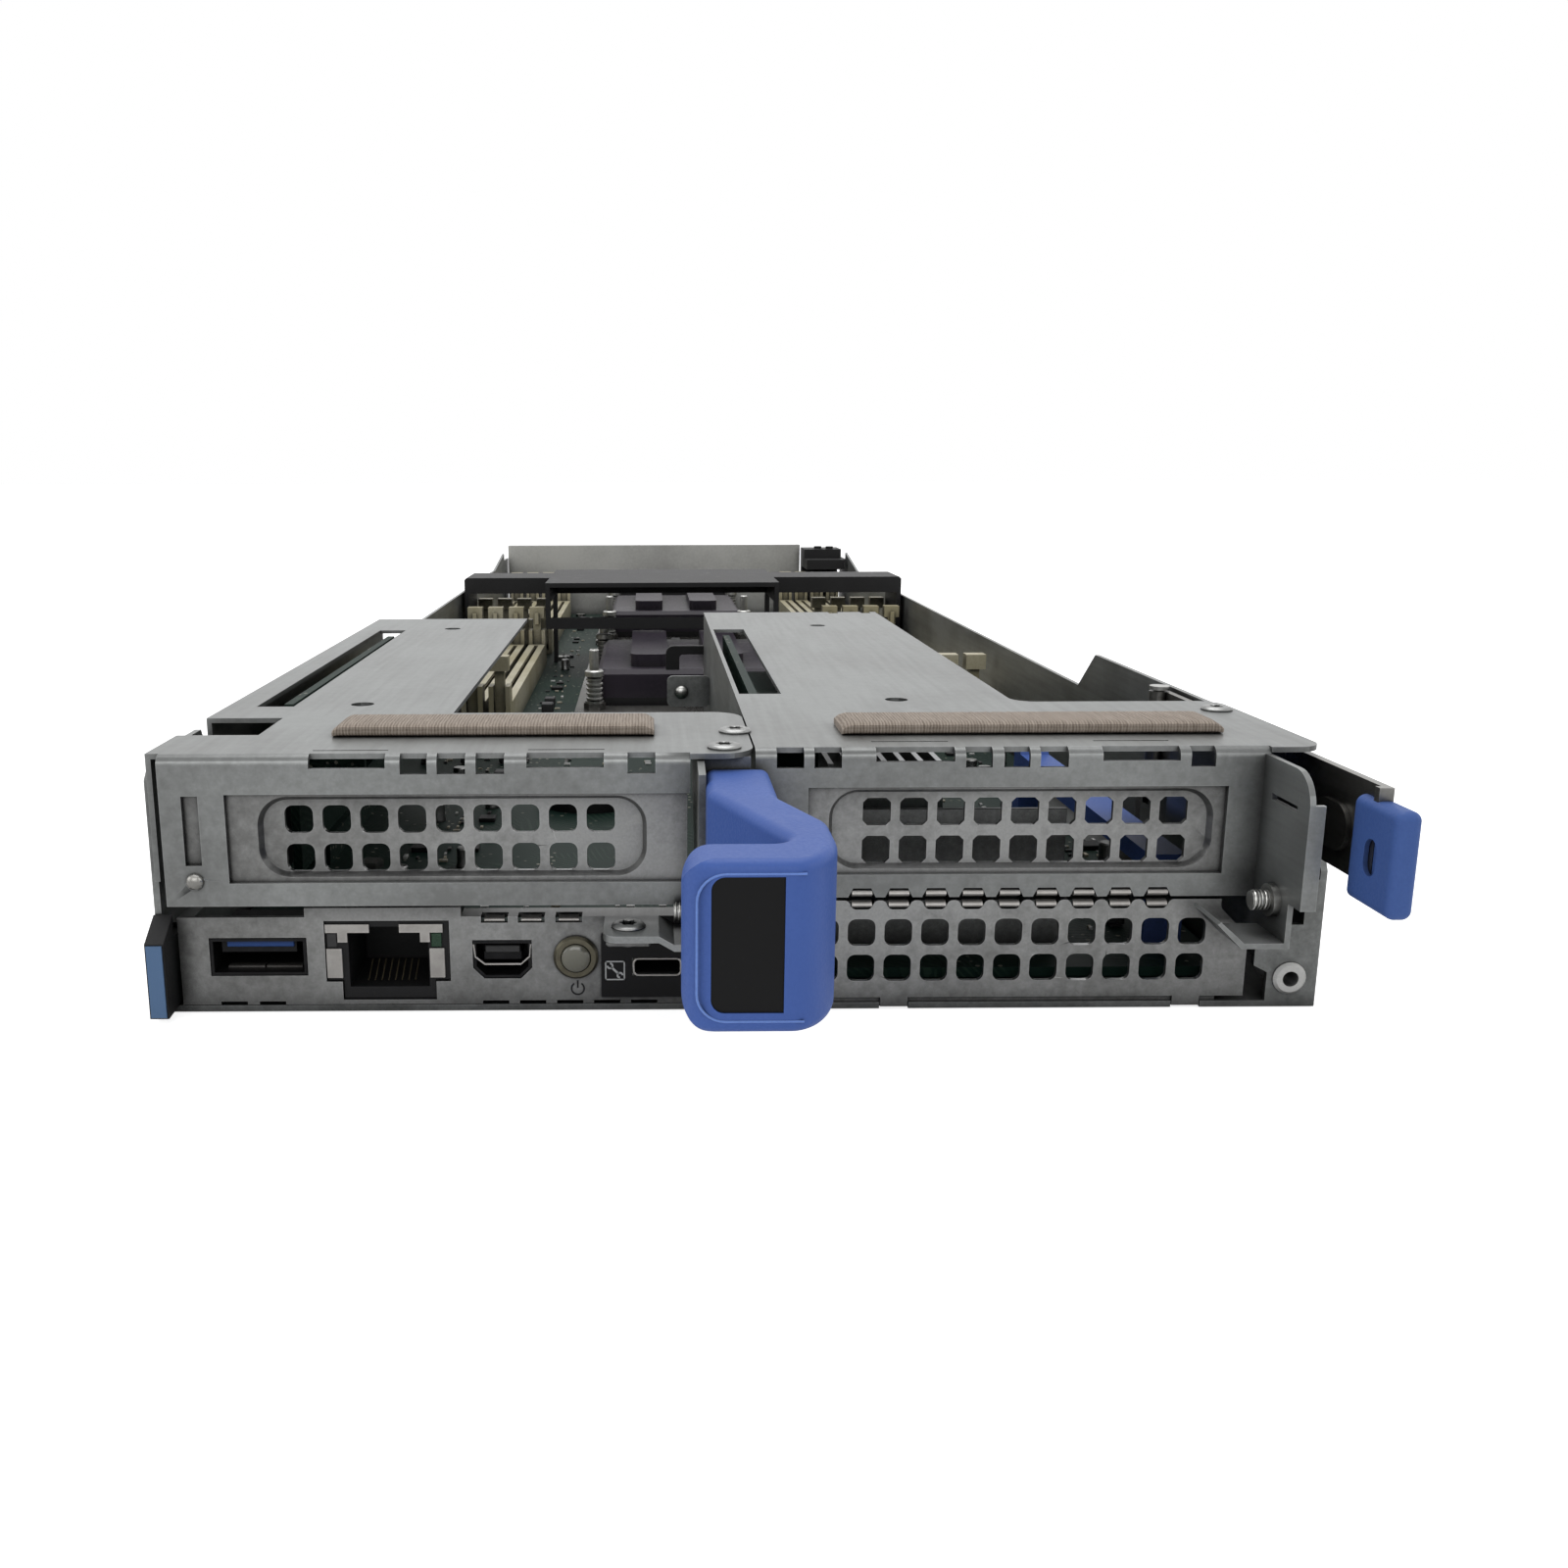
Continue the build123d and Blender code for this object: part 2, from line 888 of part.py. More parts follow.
def cut_comb(plane, level, direction, depth):
    """Cuts the row of tapered notches into the edge of a sheet at the given level."""
    for index in range(comb_count):
        middle = comb_first + index * hole_pitch
        shape(
            plane,
            (
                (middle - comb_width / 2, level - direction * overrun),
                (middle - comb_width / 2, level),
                (middle - comb_width / 2 + comb_depth / 2, level + direction * comb_depth),
                (middle + comb_width / 2 - comb_depth / 2, level + direction * comb_depth),
                (middle + comb_width / 2, level),
                (middle + comb_width / 2, level - direction * overrun),
            ),
            depth,
            mode=Mode.SUBTRACT,
        )


# Left riser cover: a bent sheet over the left card bay
left_face_back = left_face_reach - cover_sheet

with BuildPart() as left_riser_cover:
    with BuildSketch(floor_face.offset(cover_under)) as left_top:
        with BuildLine():
            Polyline(
                (left_cover_start, cover_bend_radius - left_face_reach),
                (left_face_end, cover_bend_radius - left_face_reach),
                (left_face_end, -left_face_reach),
                (left_cover_end, -left_face_reach),
                (left_cover_end, left_front_depth),
                (left_rear_end, left_front_depth),
                (left_rear_end, left_cover_length),
                (left_cover_start, left_cover_length),
                close=True,
            )
        make_face()
        fillet(left_top.vertices().group_by(Axis.X)[-1], tab_corner_radius)
    extrude(amount=cover_sheet)
    front_bend(left_face_start, left_face_end, left_face_reach)
    slab(
        side_face.offset(left_cover_start),
        cover_bend_radius - left_face_reach,
        left_cover_length,
        left_flange_height,
        cover_top,
        cover_sheet,
    )
    slab(
        side_face.offset(left_rear_end - cover_sheet),
        left_front_depth,
        left_cover_length,
        cover_top - right_side_drop,
        cover_top,
        cover_sheet,
    )
    slab(
        floor_face.offset(strip_bottom),
        left_face_start,
        left_face_end,
        -left_face_reach,
        -left_face_reach + blank_lip_depth,
        cover_sheet,
    )
    slab(
        front_face.offset(left_face_back - overrun),
        left_column_end,
        left_face_end + overrun,
        strip_top,
        window_band_bottom,
        cover_sheet + overrun * 2,
        mode=Mode.SUBTRACT,
    )
    cut_windows(front_face, left_windows, left_face_reach)
    cut_slits(left_windows, left_slit_place)
    slab(
        floor_face.offset(cover_under - overrun),
        left_slot_start,
        left_slot_start + left_slot_width,
        left_slot_front,
        left_slot_rear,
        cover_sheet + overrun * 2,
        mode=Mode.SUBTRACT,
    )
    slab(
        floor_face.offset(cover_under - notch_depth),
        left_cover_start - overrun,
        left_notch_end,
        left_notch_front,
        left_notch_rear,
        notch_depth + overrun * 2,
        mode=Mode.SUBTRACT,
    )
    post(
        floor_face.offset(cover_under - overrun),
        ((left_hole_x, left_hole_front), (left_hole_x, left_hole_rear)),
        cover_hole_radius,
        cover_sheet + overrun * 2,
        mode=Mode.SUBTRACT,
    )
    slab(
        front_face.offset(left_face_back - overrun),
        side_slot_x - side_slot_width / 2,
        side_slot_x + side_slot_width / 2,
        side_slot_z - side_slot_height / 2,
        side_slot_z + side_slot_height / 2,
        cover_sheet + overrun * 2,
        mode=Mode.SUBTRACT,
    )
    post(front_face.offset(left_face_reach), ((side_slot_x, dimple_z),), dimple_radius, dimple_rise)
    post(
        floor_face.offset(cover_under - overrun),
        cover_screw_places,
        cover_screw_shank + fit_gap,
        cover_sheet + overrun * 2,
        mode=Mode.SUBTRACT,
    )
write(left_riser_cover, "left_riser_cover")

# Right riser cover: top, front flange, both side walls and the fin beside the latch
fin_x = right_face_end

with BuildPart() as right_riser_cover:
    with BuildSketch(floor_face.offset(cover_under)) as right_top:
        with BuildLine():
            Polyline(
                (right_cover_start, cover_bend_radius),
                (right_face_end + fin_sheet, cover_bend_radius),
                (right_face_end + fin_sheet, 0),
                (right_cover_end, 0),
                (right_cover_end, right_front_depth),
                (right_rear_end, right_front_depth),
                (right_rear_end, right_cover_length),
                (right_cover_start, right_cover_length),
                close=True,
            )
        make_face()
        fillet(right_top.vertices().group_by(Axis.X)[-1], right_corner_radius)
        fillet(
            right_top.vertices().group_by(Axis.X)[1].sort_by(Axis.Y)[0],
            right_corner_radius,
        )
    extrude(amount=cover_sheet)
    front_bend(right_face_start, right_face_end + fin_sheet, 0)
    shape(
        side_face.offset(right_cover_start),
        (
            (cover_bend_radius, strip_bottom),
            (cover_bend_radius, cover_top),
            (right_cover_length, cover_top),
            (right_cover_length, right_wall_drop),
            (right_wall_front, right_wall_drop),
            (right_wall_front, strip_bottom),
        ),
        cover_sheet,
    )
    slab(
        floor_face.offset(strip_bottom),
        right_face_start,
        right_face_end,
        0,
        blank_lip_depth,
        cover_sheet,
    )
    with BuildSketch(side_face.offset(fin_x)) as fin_outline:
        with BuildLine():
            Polyline(
                (-fin_reach, fin_front_bottom),
                (-fin_reach, fin_top),
                (cover_sheet, fin_top),
                (right_front_depth - right_corner_radius, cover_under),
                (right_front_depth - right_corner_radius, tray_sheet),
                (right_wall_front, tray_sheet),
                (fin_foot_rear, fin_foot_rear_bottom),
                (-fin_foot_reach, fin_foot_bottom),
                (-fin_foot_reach, fin_front_bottom),
                close=True,
            )
        make_face()
        fillet(
            fin_outline.vertices().group_by(Axis.X)[0].sort_by(Axis.Y)[-1],
            fin_corner_radius,
        )
    extrude(amount=fin_sheet)
    slab(
        front_face.offset(fin_reach - fin_sheet),
        fin_x,
        fin_x + fin_return_width,
        fin_front_bottom,
        fin_return_top,
        fin_sheet,
    )
    shape(
        front_face.offset(fin_lip_rear),
        (
            (fin_x + fin_sheet, fin_foot_bottom),
            (fin_lip_start, fin_foot_bottom),
            (fin_lip_tip, fin_foot_bottom + fin_lip_rise),
            (fin_lip_tip + fin_sheet * half, fin_foot_bottom + fin_lip_rise + fin_sheet * half),
            (fin_lip_start + fin_sheet * half, fin_foot_bottom + fin_sheet),
            (fin_x + fin_sheet, fin_foot_bottom + fin_sheet),
        ),
        fin_lip_front - fin_lip_rear,
    )
    slab(
        side_face.offset(fin_x - overrun),
        -fin_slot_place - fin_slot_length / 2,
        -fin_slot_place + fin_slot_length / 2,
        fin_slot_level - fin_slot_height / 2,
        fin_slot_level + fin_slot_height / 2,
        fin_sheet + overrun * 2,
        mode=Mode.SUBTRACT,
    )
    post(
        side_face.offset(fin_x - overrun),
        ((-right_screw_y, right_screw_z),),
        frame_screw_radius + fit_gap,
        fin_sheet + overrun * 2,
        mode=Mode.SUBTRACT,
    )
    slab(
        front_face.offset(-cover_sheet - overrun),
        right_column_end,
        right_post_start,
        strip_top,
        window_band_bottom,
        cover_sheet + overrun * 2,
        mode=Mode.SUBTRACT,
    )
    cut_comb(front_face.offset(-blank_lip_depth * half), strip_bottom, 1, blank_lip_depth)
    cut_windows(front_face, right_windows, 0)
    cut_slits(right_windows, right_slit_place)
    slab(
        floor_face.offset(cover_under - overrun),
        right_cover_start + cover_sheet,
        right_cover_start + cover_sheet + right_slot_width,
        right_slot_front,
        right_slot_rear,
        cover_sheet + overrun * 2,
        mode=Mode.SUBTRACT,
    )
    post(
        floor_face.offset(cover_under - overrun),
        ((right_hole_x, right_hole_front), (right_hole_x, right_hole_rear)),
        cover_hole_radius,
        cover_sheet + overrun * 2,
        mode=Mode.SUBTRACT,
    )
    for notch_index in range(2):
        notch_x = comb_notch_first + notch_index * comb_notch_pitch
        slab(
            floor_face.offset(cover_under - overrun),
            notch_x,
            notch_x + comb_notch_width,
            right_cover_length - comb_notch_depth,
            right_cover_length + overrun,
            cover_sheet + overrun * 2,
            mode=Mode.SUBTRACT,
        )
    post(
        floor_face.offset(cover_under - overrun),
        (right_cover_screw,),
        cover_screw_shank + fit_gap,
        cover_sheet + overrun * 2,
        mode=Mode.SUBTRACT,
    )
write(right_riser_cover, "right_riser_cover")


def press(plane, middle, width, height, mode):
    """Adds or cuts a pressed panel with sloped sides that reaches back from a plane."""
    with BuildSketch(plane) as rim:
        with Locations(middle):
            RectangleRounded(width, height, emboss_radius)
    with BuildSketch(plane.offset(-emboss_depth)) as bed:
        with Locations(middle):
            RectangleRounded(width - emboss_slope * 2, height - emboss_slope * 2, emboss_radius - emboss_slope)
    loft((rim.sketch.face(), bed.sketch.face()), mode=mode)


def make_slot_blank(name, face_depth, start, end, emboss_start, emboss_end, first_column):
    """Builds a card slot blank: a sheet with a pressed-in panel, two rows of holes and a lip."""
    emboss_middle = ((emboss_start + emboss_end) / 2, (emboss_bottom + emboss_top) / 2)
    emboss_width = emboss_end - emboss_start
    emboss_height = emboss_top - emboss_bottom
    with BuildPart() as blank:
        slab(
            front_face.offset(-face_depth - blank_sheet),
            start,
            end,
            slot_blank_bottom,
            slot_blank_top,
            blank_sheet,
        )
        press(
            front_face.offset(-face_depth - blank_sheet),
            emboss_middle,
            emboss_width + emboss_slope,
            emboss_height + emboss_slope,
            Mode.ADD,
        )
        press(front_face.offset(-face_depth), emboss_middle, emboss_width, emboss_height, Mode.SUBTRACT)
        slab(
            floor_face.offset(slot_blank_bottom),
            (start + end) / 2 - blank_tab_width,
            (start + end) / 2 + blank_tab_width,
            face_depth,
            face_depth + blank_lip_depth,
            cover_sheet,
        )
        perforate(
            front_face.offset(-face_depth - emboss_depth - blank_sheet - overrun),
            first_column,
            emboss_end - slot_side_margin,
            slot_row_low,
            slot_rows,
            slot_row_pitch,
            blank_sheet + emboss_depth + overrun,
        )
    write(blank, name)


make_slot_blank(
    "left_slot_blank",
    -left_face_back,
    left_blank_start,
    left_blank_end,
    left_emboss_start,
    left_emboss_end,
    left_first_column,
)
make_slot_blank(
    "right_slot_blank",
    cover_sheet,
    right_blank_start - notch_depth * half,
    right_blank_end + notch_depth * half,
    right_emboss_start,
    right_emboss_end,
    right_first_column,
)

# Mezzanine blank at the lower right, with holes, a comb along its top and two feet
with BuildPart() as mezzanine_blank:
    shape(
        front_face.offset(-panel_sheet),
        (
            (mezz_start, mezz_bottom),
            (mezz_end, mezz_bottom),
            (mezz_end, mezz_top - mezz_chamfer - comb_depth),
            (mezz_end - mezz_chamfer, mezz_top - comb_depth),
            (mezz_end - mezz_chamfer, mezz_top),
            (mezz_start, mezz_top),
        ),
        panel_sheet,
    )
    for foot_x in (mezz_foot_first, mezz_foot_second):
        slab(
            front_face.offset(-panel_sheet),
            foot_x - mezz_foot_width / 2,
            foot_x + mezz_foot_width / 2,
            foot_drop,
            mezz_bottom + comb_depth,
            panel_sheet,
        )
    slab(
        floor_face.offset(tray_sheet),
        mezz_start,
        mezz_end - comb_width,
        panel_sheet * half,
        mezz_lip_depth,
        panel_sheet,
    )
    slab(
        floor_face.offset(mezz_top - panel_sheet),
        mezz_start,
        mezz_end - mezz_chamfer,
        panel_sheet,
        mezz_lip_depth,
        panel_sheet,
    )
    cut_comb(front_face.offset(-mezz_lip_depth * half), mezz_top, -1, mezz_lip_depth)
    perforate(
        front_face.offset(-panel_sheet - overrun),
        mezz_first_column,
        mezz_end - mezz_side_margin,
        mezz_row_low,
        slot_rows,
        mezz_row_pitch,
        panel_sheet + overrun * 2,
    )
write(mezzanine_blank, "mezzanine_blank")


def make_gasket(name, start, end):
    """Builds one conductive fabric gasket lying on a cover."""
    with BuildPart() as gasket:
        slab(floor_face.offset(cover_top), start, end, gasket_front, gasket_front + gasket_depth, gasket_height)
        fillet(gasket.edges().filter_by(Axis.X).group_by(Axis.Z)[-1], gasket_round)
    write(gasket, name)


make_gasket("left_gasket", left_gasket_start, left_gasket_end)
make_gasket("right_gasket", right_gasket_start, right_gasket_end)

# I/O panel with the openings for the ports
network_top_cut = (
    (network_start, network_bottom),
    (network_start, network_top),
    (network_end, network_top),
    (network_end, network_bottom),
    (network_low_end, network_bottom),
    (network_low_end, network_low_bottom),
    (network_low_start, network_low_bottom),
    (network_low_start, network_bottom),
)
display_outline = (
    (display_start, display_top),
    (display_end, display_top),
    (display_end, display_bottom + display_chamfer),
    (display_end - display_chamfer, display_bottom),
    (display_start + display_chamfer, display_bottom),
    (display_start, display_bottom + display_chamfer),
)

with BuildPart() as io_panel:
    slab(front_face.offset(-panel_sheet), panel_start, panel_end, panel_bottom, panel_top, panel_sheet)
    slab(
        front_face.offset(-panel_sheet),
        panel_raise_start,
        panel_raise_end,
        panel_bottom,
        panel_raise_top,
        panel_sheet,
    )
    slab(
        floor_face.offset(panel_top - panel_sheet),
        panel_raise_end,
        web_start - running_gap,
        panel_sheet,
        panel_lip_depth,
        panel_sheet,
    )
    slab(
        floor_face.offset(tray_sheet),
        panel_start,
        panel_end,
        panel_sheet,
        panel_lip_depth - panel_sheet,
        panel_sheet,
    )
    for notch_x in panel_top_notches:
        slab(
            front_face.offset(-panel_lip_depth * half),
            notch_x - panel_notch_width / 2,
            notch_x + panel_notch_width / 2,
            panel_top - panel_notch_depth,
            panel_top + overrun,
            panel_lip_depth,
            mode=Mode.SUBTRACT,
        )
    for notch_x in panel_bottom_notches:
        slab(
            front_face.offset(-panel_sheet - overrun),
            notch_x - panel_notch_width / 2,
            notch_x + panel_notch_width / 2,
            panel_bottom - overrun,
            panel_bottom + panel_notch_depth * half,
            panel_sheet + overrun * 2,
            mode=Mode.SUBTRACT,
        )
    slab(
        front_face.offset(-panel_sheet - overrun),
        usb_start,
        usb_end,
        usb_bottom,
        usb_top,
        panel_sheet + overrun * 2,
        mode=Mode.SUBTRACT,
    )
    shape(
        front_face.offset(-panel_sheet - overrun),
        network_top_cut,
        panel_sheet + overrun * 2,
        mode=Mode.SUBTRACT,
    )
    slab(
        floor_face.offset(tray_sheet - overrun),
        network_low_start,
        network_low_end,
        panel_sheet,
        panel_lip_depth,
        panel_sheet + overrun * 2,
        mode=Mode.SUBTRACT,
    )
    shape(
        front_face.offset(-panel_sheet - overrun),
        display_outline,
        panel_sheet + overrun * 2,
        mode=Mode.SUBTRACT,
    )
    post(
        front_face.offset(-panel_sheet - overrun),
        ((button_x, button_z),),
        bezel_radius - port_shell,
        panel_sheet + overrun * 2,
        mode=Mode.SUBTRACT,
    )
    slab(
        front_face.offset(-panel_sheet - overrun),
        service_port_x - service_port_width / 2,
        service_port_x + service_port_width / 2,
        service_port_z - service_port_height / 2,
        service_port_z + service_port_height / 2,
        panel_sheet + overrun * 2,
        mode=Mode.SUBTRACT,
    )
write(io_panel, "io_panel")

# Service label plate: a thin bare plate round the small port
with BuildPart() as service_label:
    slab(front_face, service_start, service_end, service_bottom, service_top, service_plate)
    slab(
        front_face.offset(-overrun),
        service_port_x - service_port_width / 2,
        service_port_x + service_port_width / 2,
        service_port_z - service_port_height / 2,
        service_port_z + service_port_height / 2,
        service_plate + overrun * 2,
        mode=Mode.SUBTRACT,
    )
write(service_label, "service_label")

# USB port: a steel shell with a tongue along its top
usb_middle = (usb_start + usb_end) / 2
usb_low = usb_bottom + port_gap
usb_high = usb_top - port_gap

with BuildPart() as usb_port:
    slab(
        front_face.offset(-usb_depth),
        usb_start + port_gap,
        usb_end - port_gap,
        usb_low,
        usb_high,
        usb_depth,
    )
    slab(
        front_face.offset(-usb_depth + port_shell),
        usb_start + port_gap + port_shell,
        usb_end - port_gap - port_shell,
        usb_low + port_shell,
        usb_high - port_shell,
        usb_depth + overrun,
        mode=Mode.SUBTRACT,
    )
    slab(
        front_face.offset(-usb_depth),
        usb_middle - usb_tongue_width / 2,
        usb_middle + usb_tongue_width / 2,
        usb_high - port_shell - usb_tongue_thickness,
        usb_high - port_shell,
        usb_depth - panel_sheet,
    )
    slab(
        floor_face.offset(board_top),
        usb_start + port_gap,
        usb_end - port_gap,
        board_front,
        usb_depth,
        usb_low - board_top,
    )
write(usb_port, "usb_port")

# Network port: a stepped housing with a plug cavity
with BuildPart() as network_port:
    slab(
        front_face.offset(-network_depth),
        network_start + port_gap,
        network_end - port_gap,
        network_bottom + port_gap,
        network_top - port_gap,
        network_depth - panel_sheet * half,
    )
    slab(
        front_face.offset(-network_depth),
        network_low_start + port_gap,
        network_low_end - port_gap,
        network_low_bottom + port_gap,
        network_top - port_gap,
        network_depth - panel_sheet * half,
    )
    slab(
        floor_face.offset(tray_sheet),
        network_low_start + port_gap,
        network_low_end - port_gap,
        panel_lip_depth + running_gap,
        network_depth,
        network_bottom - tray_sheet,
    )
    slab(
        front_face.offset(-network_cavity_depth),
        network_low_start + port_gap + network_wall,
        network_low_end - port_gap - network_wall,
        network_low_bottom + port_gap + network_wall * 2,
        network_top - port_gap - network_wall,
        network_cavity_depth + overrun,
        mode=Mode.SUBTRACT,
    )
write(network_port, "network_port")

# Display port: a small shell with chamfered lower corners and a tongue
display_middle = (display_start + display_end) / 2

with BuildPart() as display_port:
    with BuildSketch(front_face.offset(-display_depth)) as display_body:
        with BuildLine():
            Polyline(*display_outline, close=True)
        make_face()
        offset(amount=-port_gap)
    extrude(amount=display_depth)
    with BuildSketch(front_face.offset(-display_depth + port_shell)) as display_cavity:
        with BuildLine():
            Polyline(*display_outline, close=True)
        make_face()
        offset(amount=-port_gap - port_shell)
    extrude(amount=display_depth + overrun, mode=Mode.SUBTRACT)
    slab(
        floor_face.offset(board_top),
        display_middle - display_tongue_width / 2,
        display_middle + display_tongue_width / 2,
        board_front,
        display_depth,
        port_gap + port_shell,
    )
    slab(
        front_face.offset(-display_depth),
        display_middle - display_tongue_width / 2,
        display_middle + display_tongue_width / 2,
        button_z - display_tongue_height / 2,
        button_z + display_tongue_height / 2,
        display_depth - panel_sheet,
    )
write(display_port, "display_port")

# Small service port behind its label
with BuildPart() as service_port:
    with BuildSketch(front_face.offset(-service_port_depth)):
        with Locations((service_port_x, service_port_z)):
            RectangleRounded(
                service_port_width - port_gap * 2,
                service_port_height - port_gap * 2,
                service_port_height / 4,
            )
    extrude(amount=service_port_depth)
    with BuildSketch(front_face.offset(-service_port_depth + port_shell)):
        with Locations((service_port_x, service_port_z)):
            RectangleRounded(
                service_port_width - port_gap * 2 - service_port_wall * 2,
                service_port_height - port_gap * 2 - service_port_wall * 2,
                service_port_height / 4 - service_port_wall,
            )
    extrude(amount=service_port_depth, mode=Mode.SUBTRACT)
    slab(
        floor_face.offset(board_top),
        service_port_x - service_port_width / 4,
        service_port_x + service_port_width / 4,
        board_front,
        service_port_depth,
        service_port_z - service_port_height / 2 + port_gap - board_top,
    )
write(service_port, "service_port")

# Power button: bezel, button and switch
bezel_bore = button_radius + fit_gap * 2

with BuildPart() as button_bezel:
    post(front_face, ((button_x, button_z),), bezel_radius, bezel_reach)
    post(
        front_face.offset(-bezel_depth),
        ((button_x, button_z),),
        bezel_radius - port_shell - fit_gap,
        bezel_depth + bezel_reach,
    )
    post(
        front_face.offset(-bezel_depth - overrun),
        ((button_x, button_z),),
        bezel_bore,
        bezel_depth + bezel_reach + overrun * 2,
        mode=Mode.SUBTRACT,
    )
    chamfer(
        button_bezel.edges().filter_by(GeomType.CIRCLE).group_by(Axis.Y)[0].sort_by(SortBy.LENGTH)[-1],
        bezel_reach * half,
    )
write(button_bezel, "button_bezel")

with BuildPart() as power_button:
    post(
        front_face.offset(button_reach - button_length),
        ((button_x, button_z),),
        button_radius,
        button_length,
    )
    chamfer(
        power_button.edges().filter_by(GeomType.CIRCLE).sort_by(Axis.Y)[0],
        button_dome,
    )
write(power_button, "power_button")

switch_front = button_length - button_reach + button_travel + running_gap

with BuildPart() as button_switch:
    slab(
        floor_face.offset(board_top),
        button_x - switch_width / 2,
        button_x + switch_width / 2,
        switch_front,
        switch_front + switch_depth,
        button_z - board_top + button_radius,
    )
write(button_switch, "button_switch")

# Handle bracket: tongue under the cover, upright web and a foot with a screw hole
foot_low = bracket_foot_bottom - bracket_foot_drop

with BuildPart() as handle_bracket:
    shape(
        side_face.offset(web_start),
        (
            (-web_front, foot_low),
            (-web_front, cover_under - bracket_sheet),
            (-left_face_reach * half, cover_under),
            (web_rear, cover_under),
            (web_rear, window_band_bottom),
            (panel_lip_depth, strip_bottom),
            (-running_gap, strip_bottom),
            (-running_gap, foot_low),
        ),
        bracket_sheet,
    )
    slab(
        floor_face.offset(cover_under - bracket_sheet),
        web_start,
        tongue_end,
        -left_face_reach * half,
        web_rear,
        bracket_sheet,
    )
    slab(
        floor_face.offset(handle_top - bracket_sheet * 2),
        web_start,
        tongue_end,
        -tongue_reach,
        -left_face_reach * half + bracket_sheet,
        bracket_sheet,
    )
    slab(
        front_face.offset(left_face_reach * half - bracket_sheet),
        web_start,
        tongue_end,
        handle_top - bracket_sheet * 2,
        cover_under,
        bracket_sheet,
    )
    shape(
        front_face.offset(running_gap),
        (
            (bracket_foot_start, bracket_foot_bottom),
            (bracket_foot_start, bracket_foot_bottom + bracket_sheet),
            (bracket_step_start, bracket_foot_bottom + bracket_sheet),
            (bracket_step_start + bracket_step_width, foot_low + bracket_sheet),
            (web_start + bracket_sheet, foot_low + bracket_sheet),
            (web_start + bracket_sheet, foot_low),
            (bracket_step_start + bracket_step_width, foot_low),
            (bracket_step_start, bracket_foot_bottom),
        ),
        bracket_foot_reach - running_gap,
    )
    fillet(
        handle_bracket.edges().filter_by(Axis.Z).group_by(Axis.X)[0].sort_by(Axis.Y)[0],
        bracket_corner_radius,
    )
    post(
        floor_face.offset(bracket_foot_bottom - overrun),
        ((bracket_screw_x, -bracket_screw_reach),),
        cover_screw_shank + fit_gap,
        bracket_sheet + overrun * 2,
        mode=Mode.SUBTRACT,
    )
    post(
        floor_face.offset(cover_under - bracket_sheet - overrun),
        cover_screw_places,
        cover_screw_shank + fit_gap,
        bracket_sheet + overrun * 2,
        mode=Mode.SUBTRACT,
    )
write(handle_bracket, "handle_bracket")

# Screw and nut in the bracket's foot
with BuildPart() as bracket_screw:
    post(
        floor_face.offset(bracket_foot_bottom + bracket_sheet),
        ((bracket_screw_x, -bracket_screw_reach),),
        cover_screw_head,
        cover_screw_head_height,
    )
    post(
        floor_face.offset(bracket_foot_bottom + bracket_sheet - bracket_screw_length),
        ((bracket_screw_x, -bracket_screw_reach),),
        cover_screw_shank,
        bracket_screw_length,
    )
    slab(
        floor_face.offset(bracket_foot_bottom - bracket_nut_height),
        bracket_screw_x - bracket_nut_size / 2,
        bracket_screw_x + bracket_nut_size / 2,
        -bracket_screw_reach - bracket_nut_size / 2,
        -bracket_screw_reach + bracket_nut_size / 2,
        bracket_nut_height,
    )
write(bracket_screw, "bracket_screw")

# Pull handle: a hooked plate in plan, upright, with rounded corners and a recess for its label
plate_back = handle_reach - handle_plate_thickness
handle_root_end = handle_root_start + handle_root_width
handle_bottom = handle_top - handle_height
handle_span = handle_bend_x + handle_corner_radius - handle_plate_end
handle_middle = (handle_plate_end + handle_span / 2, handle_top - handle_height / 2)

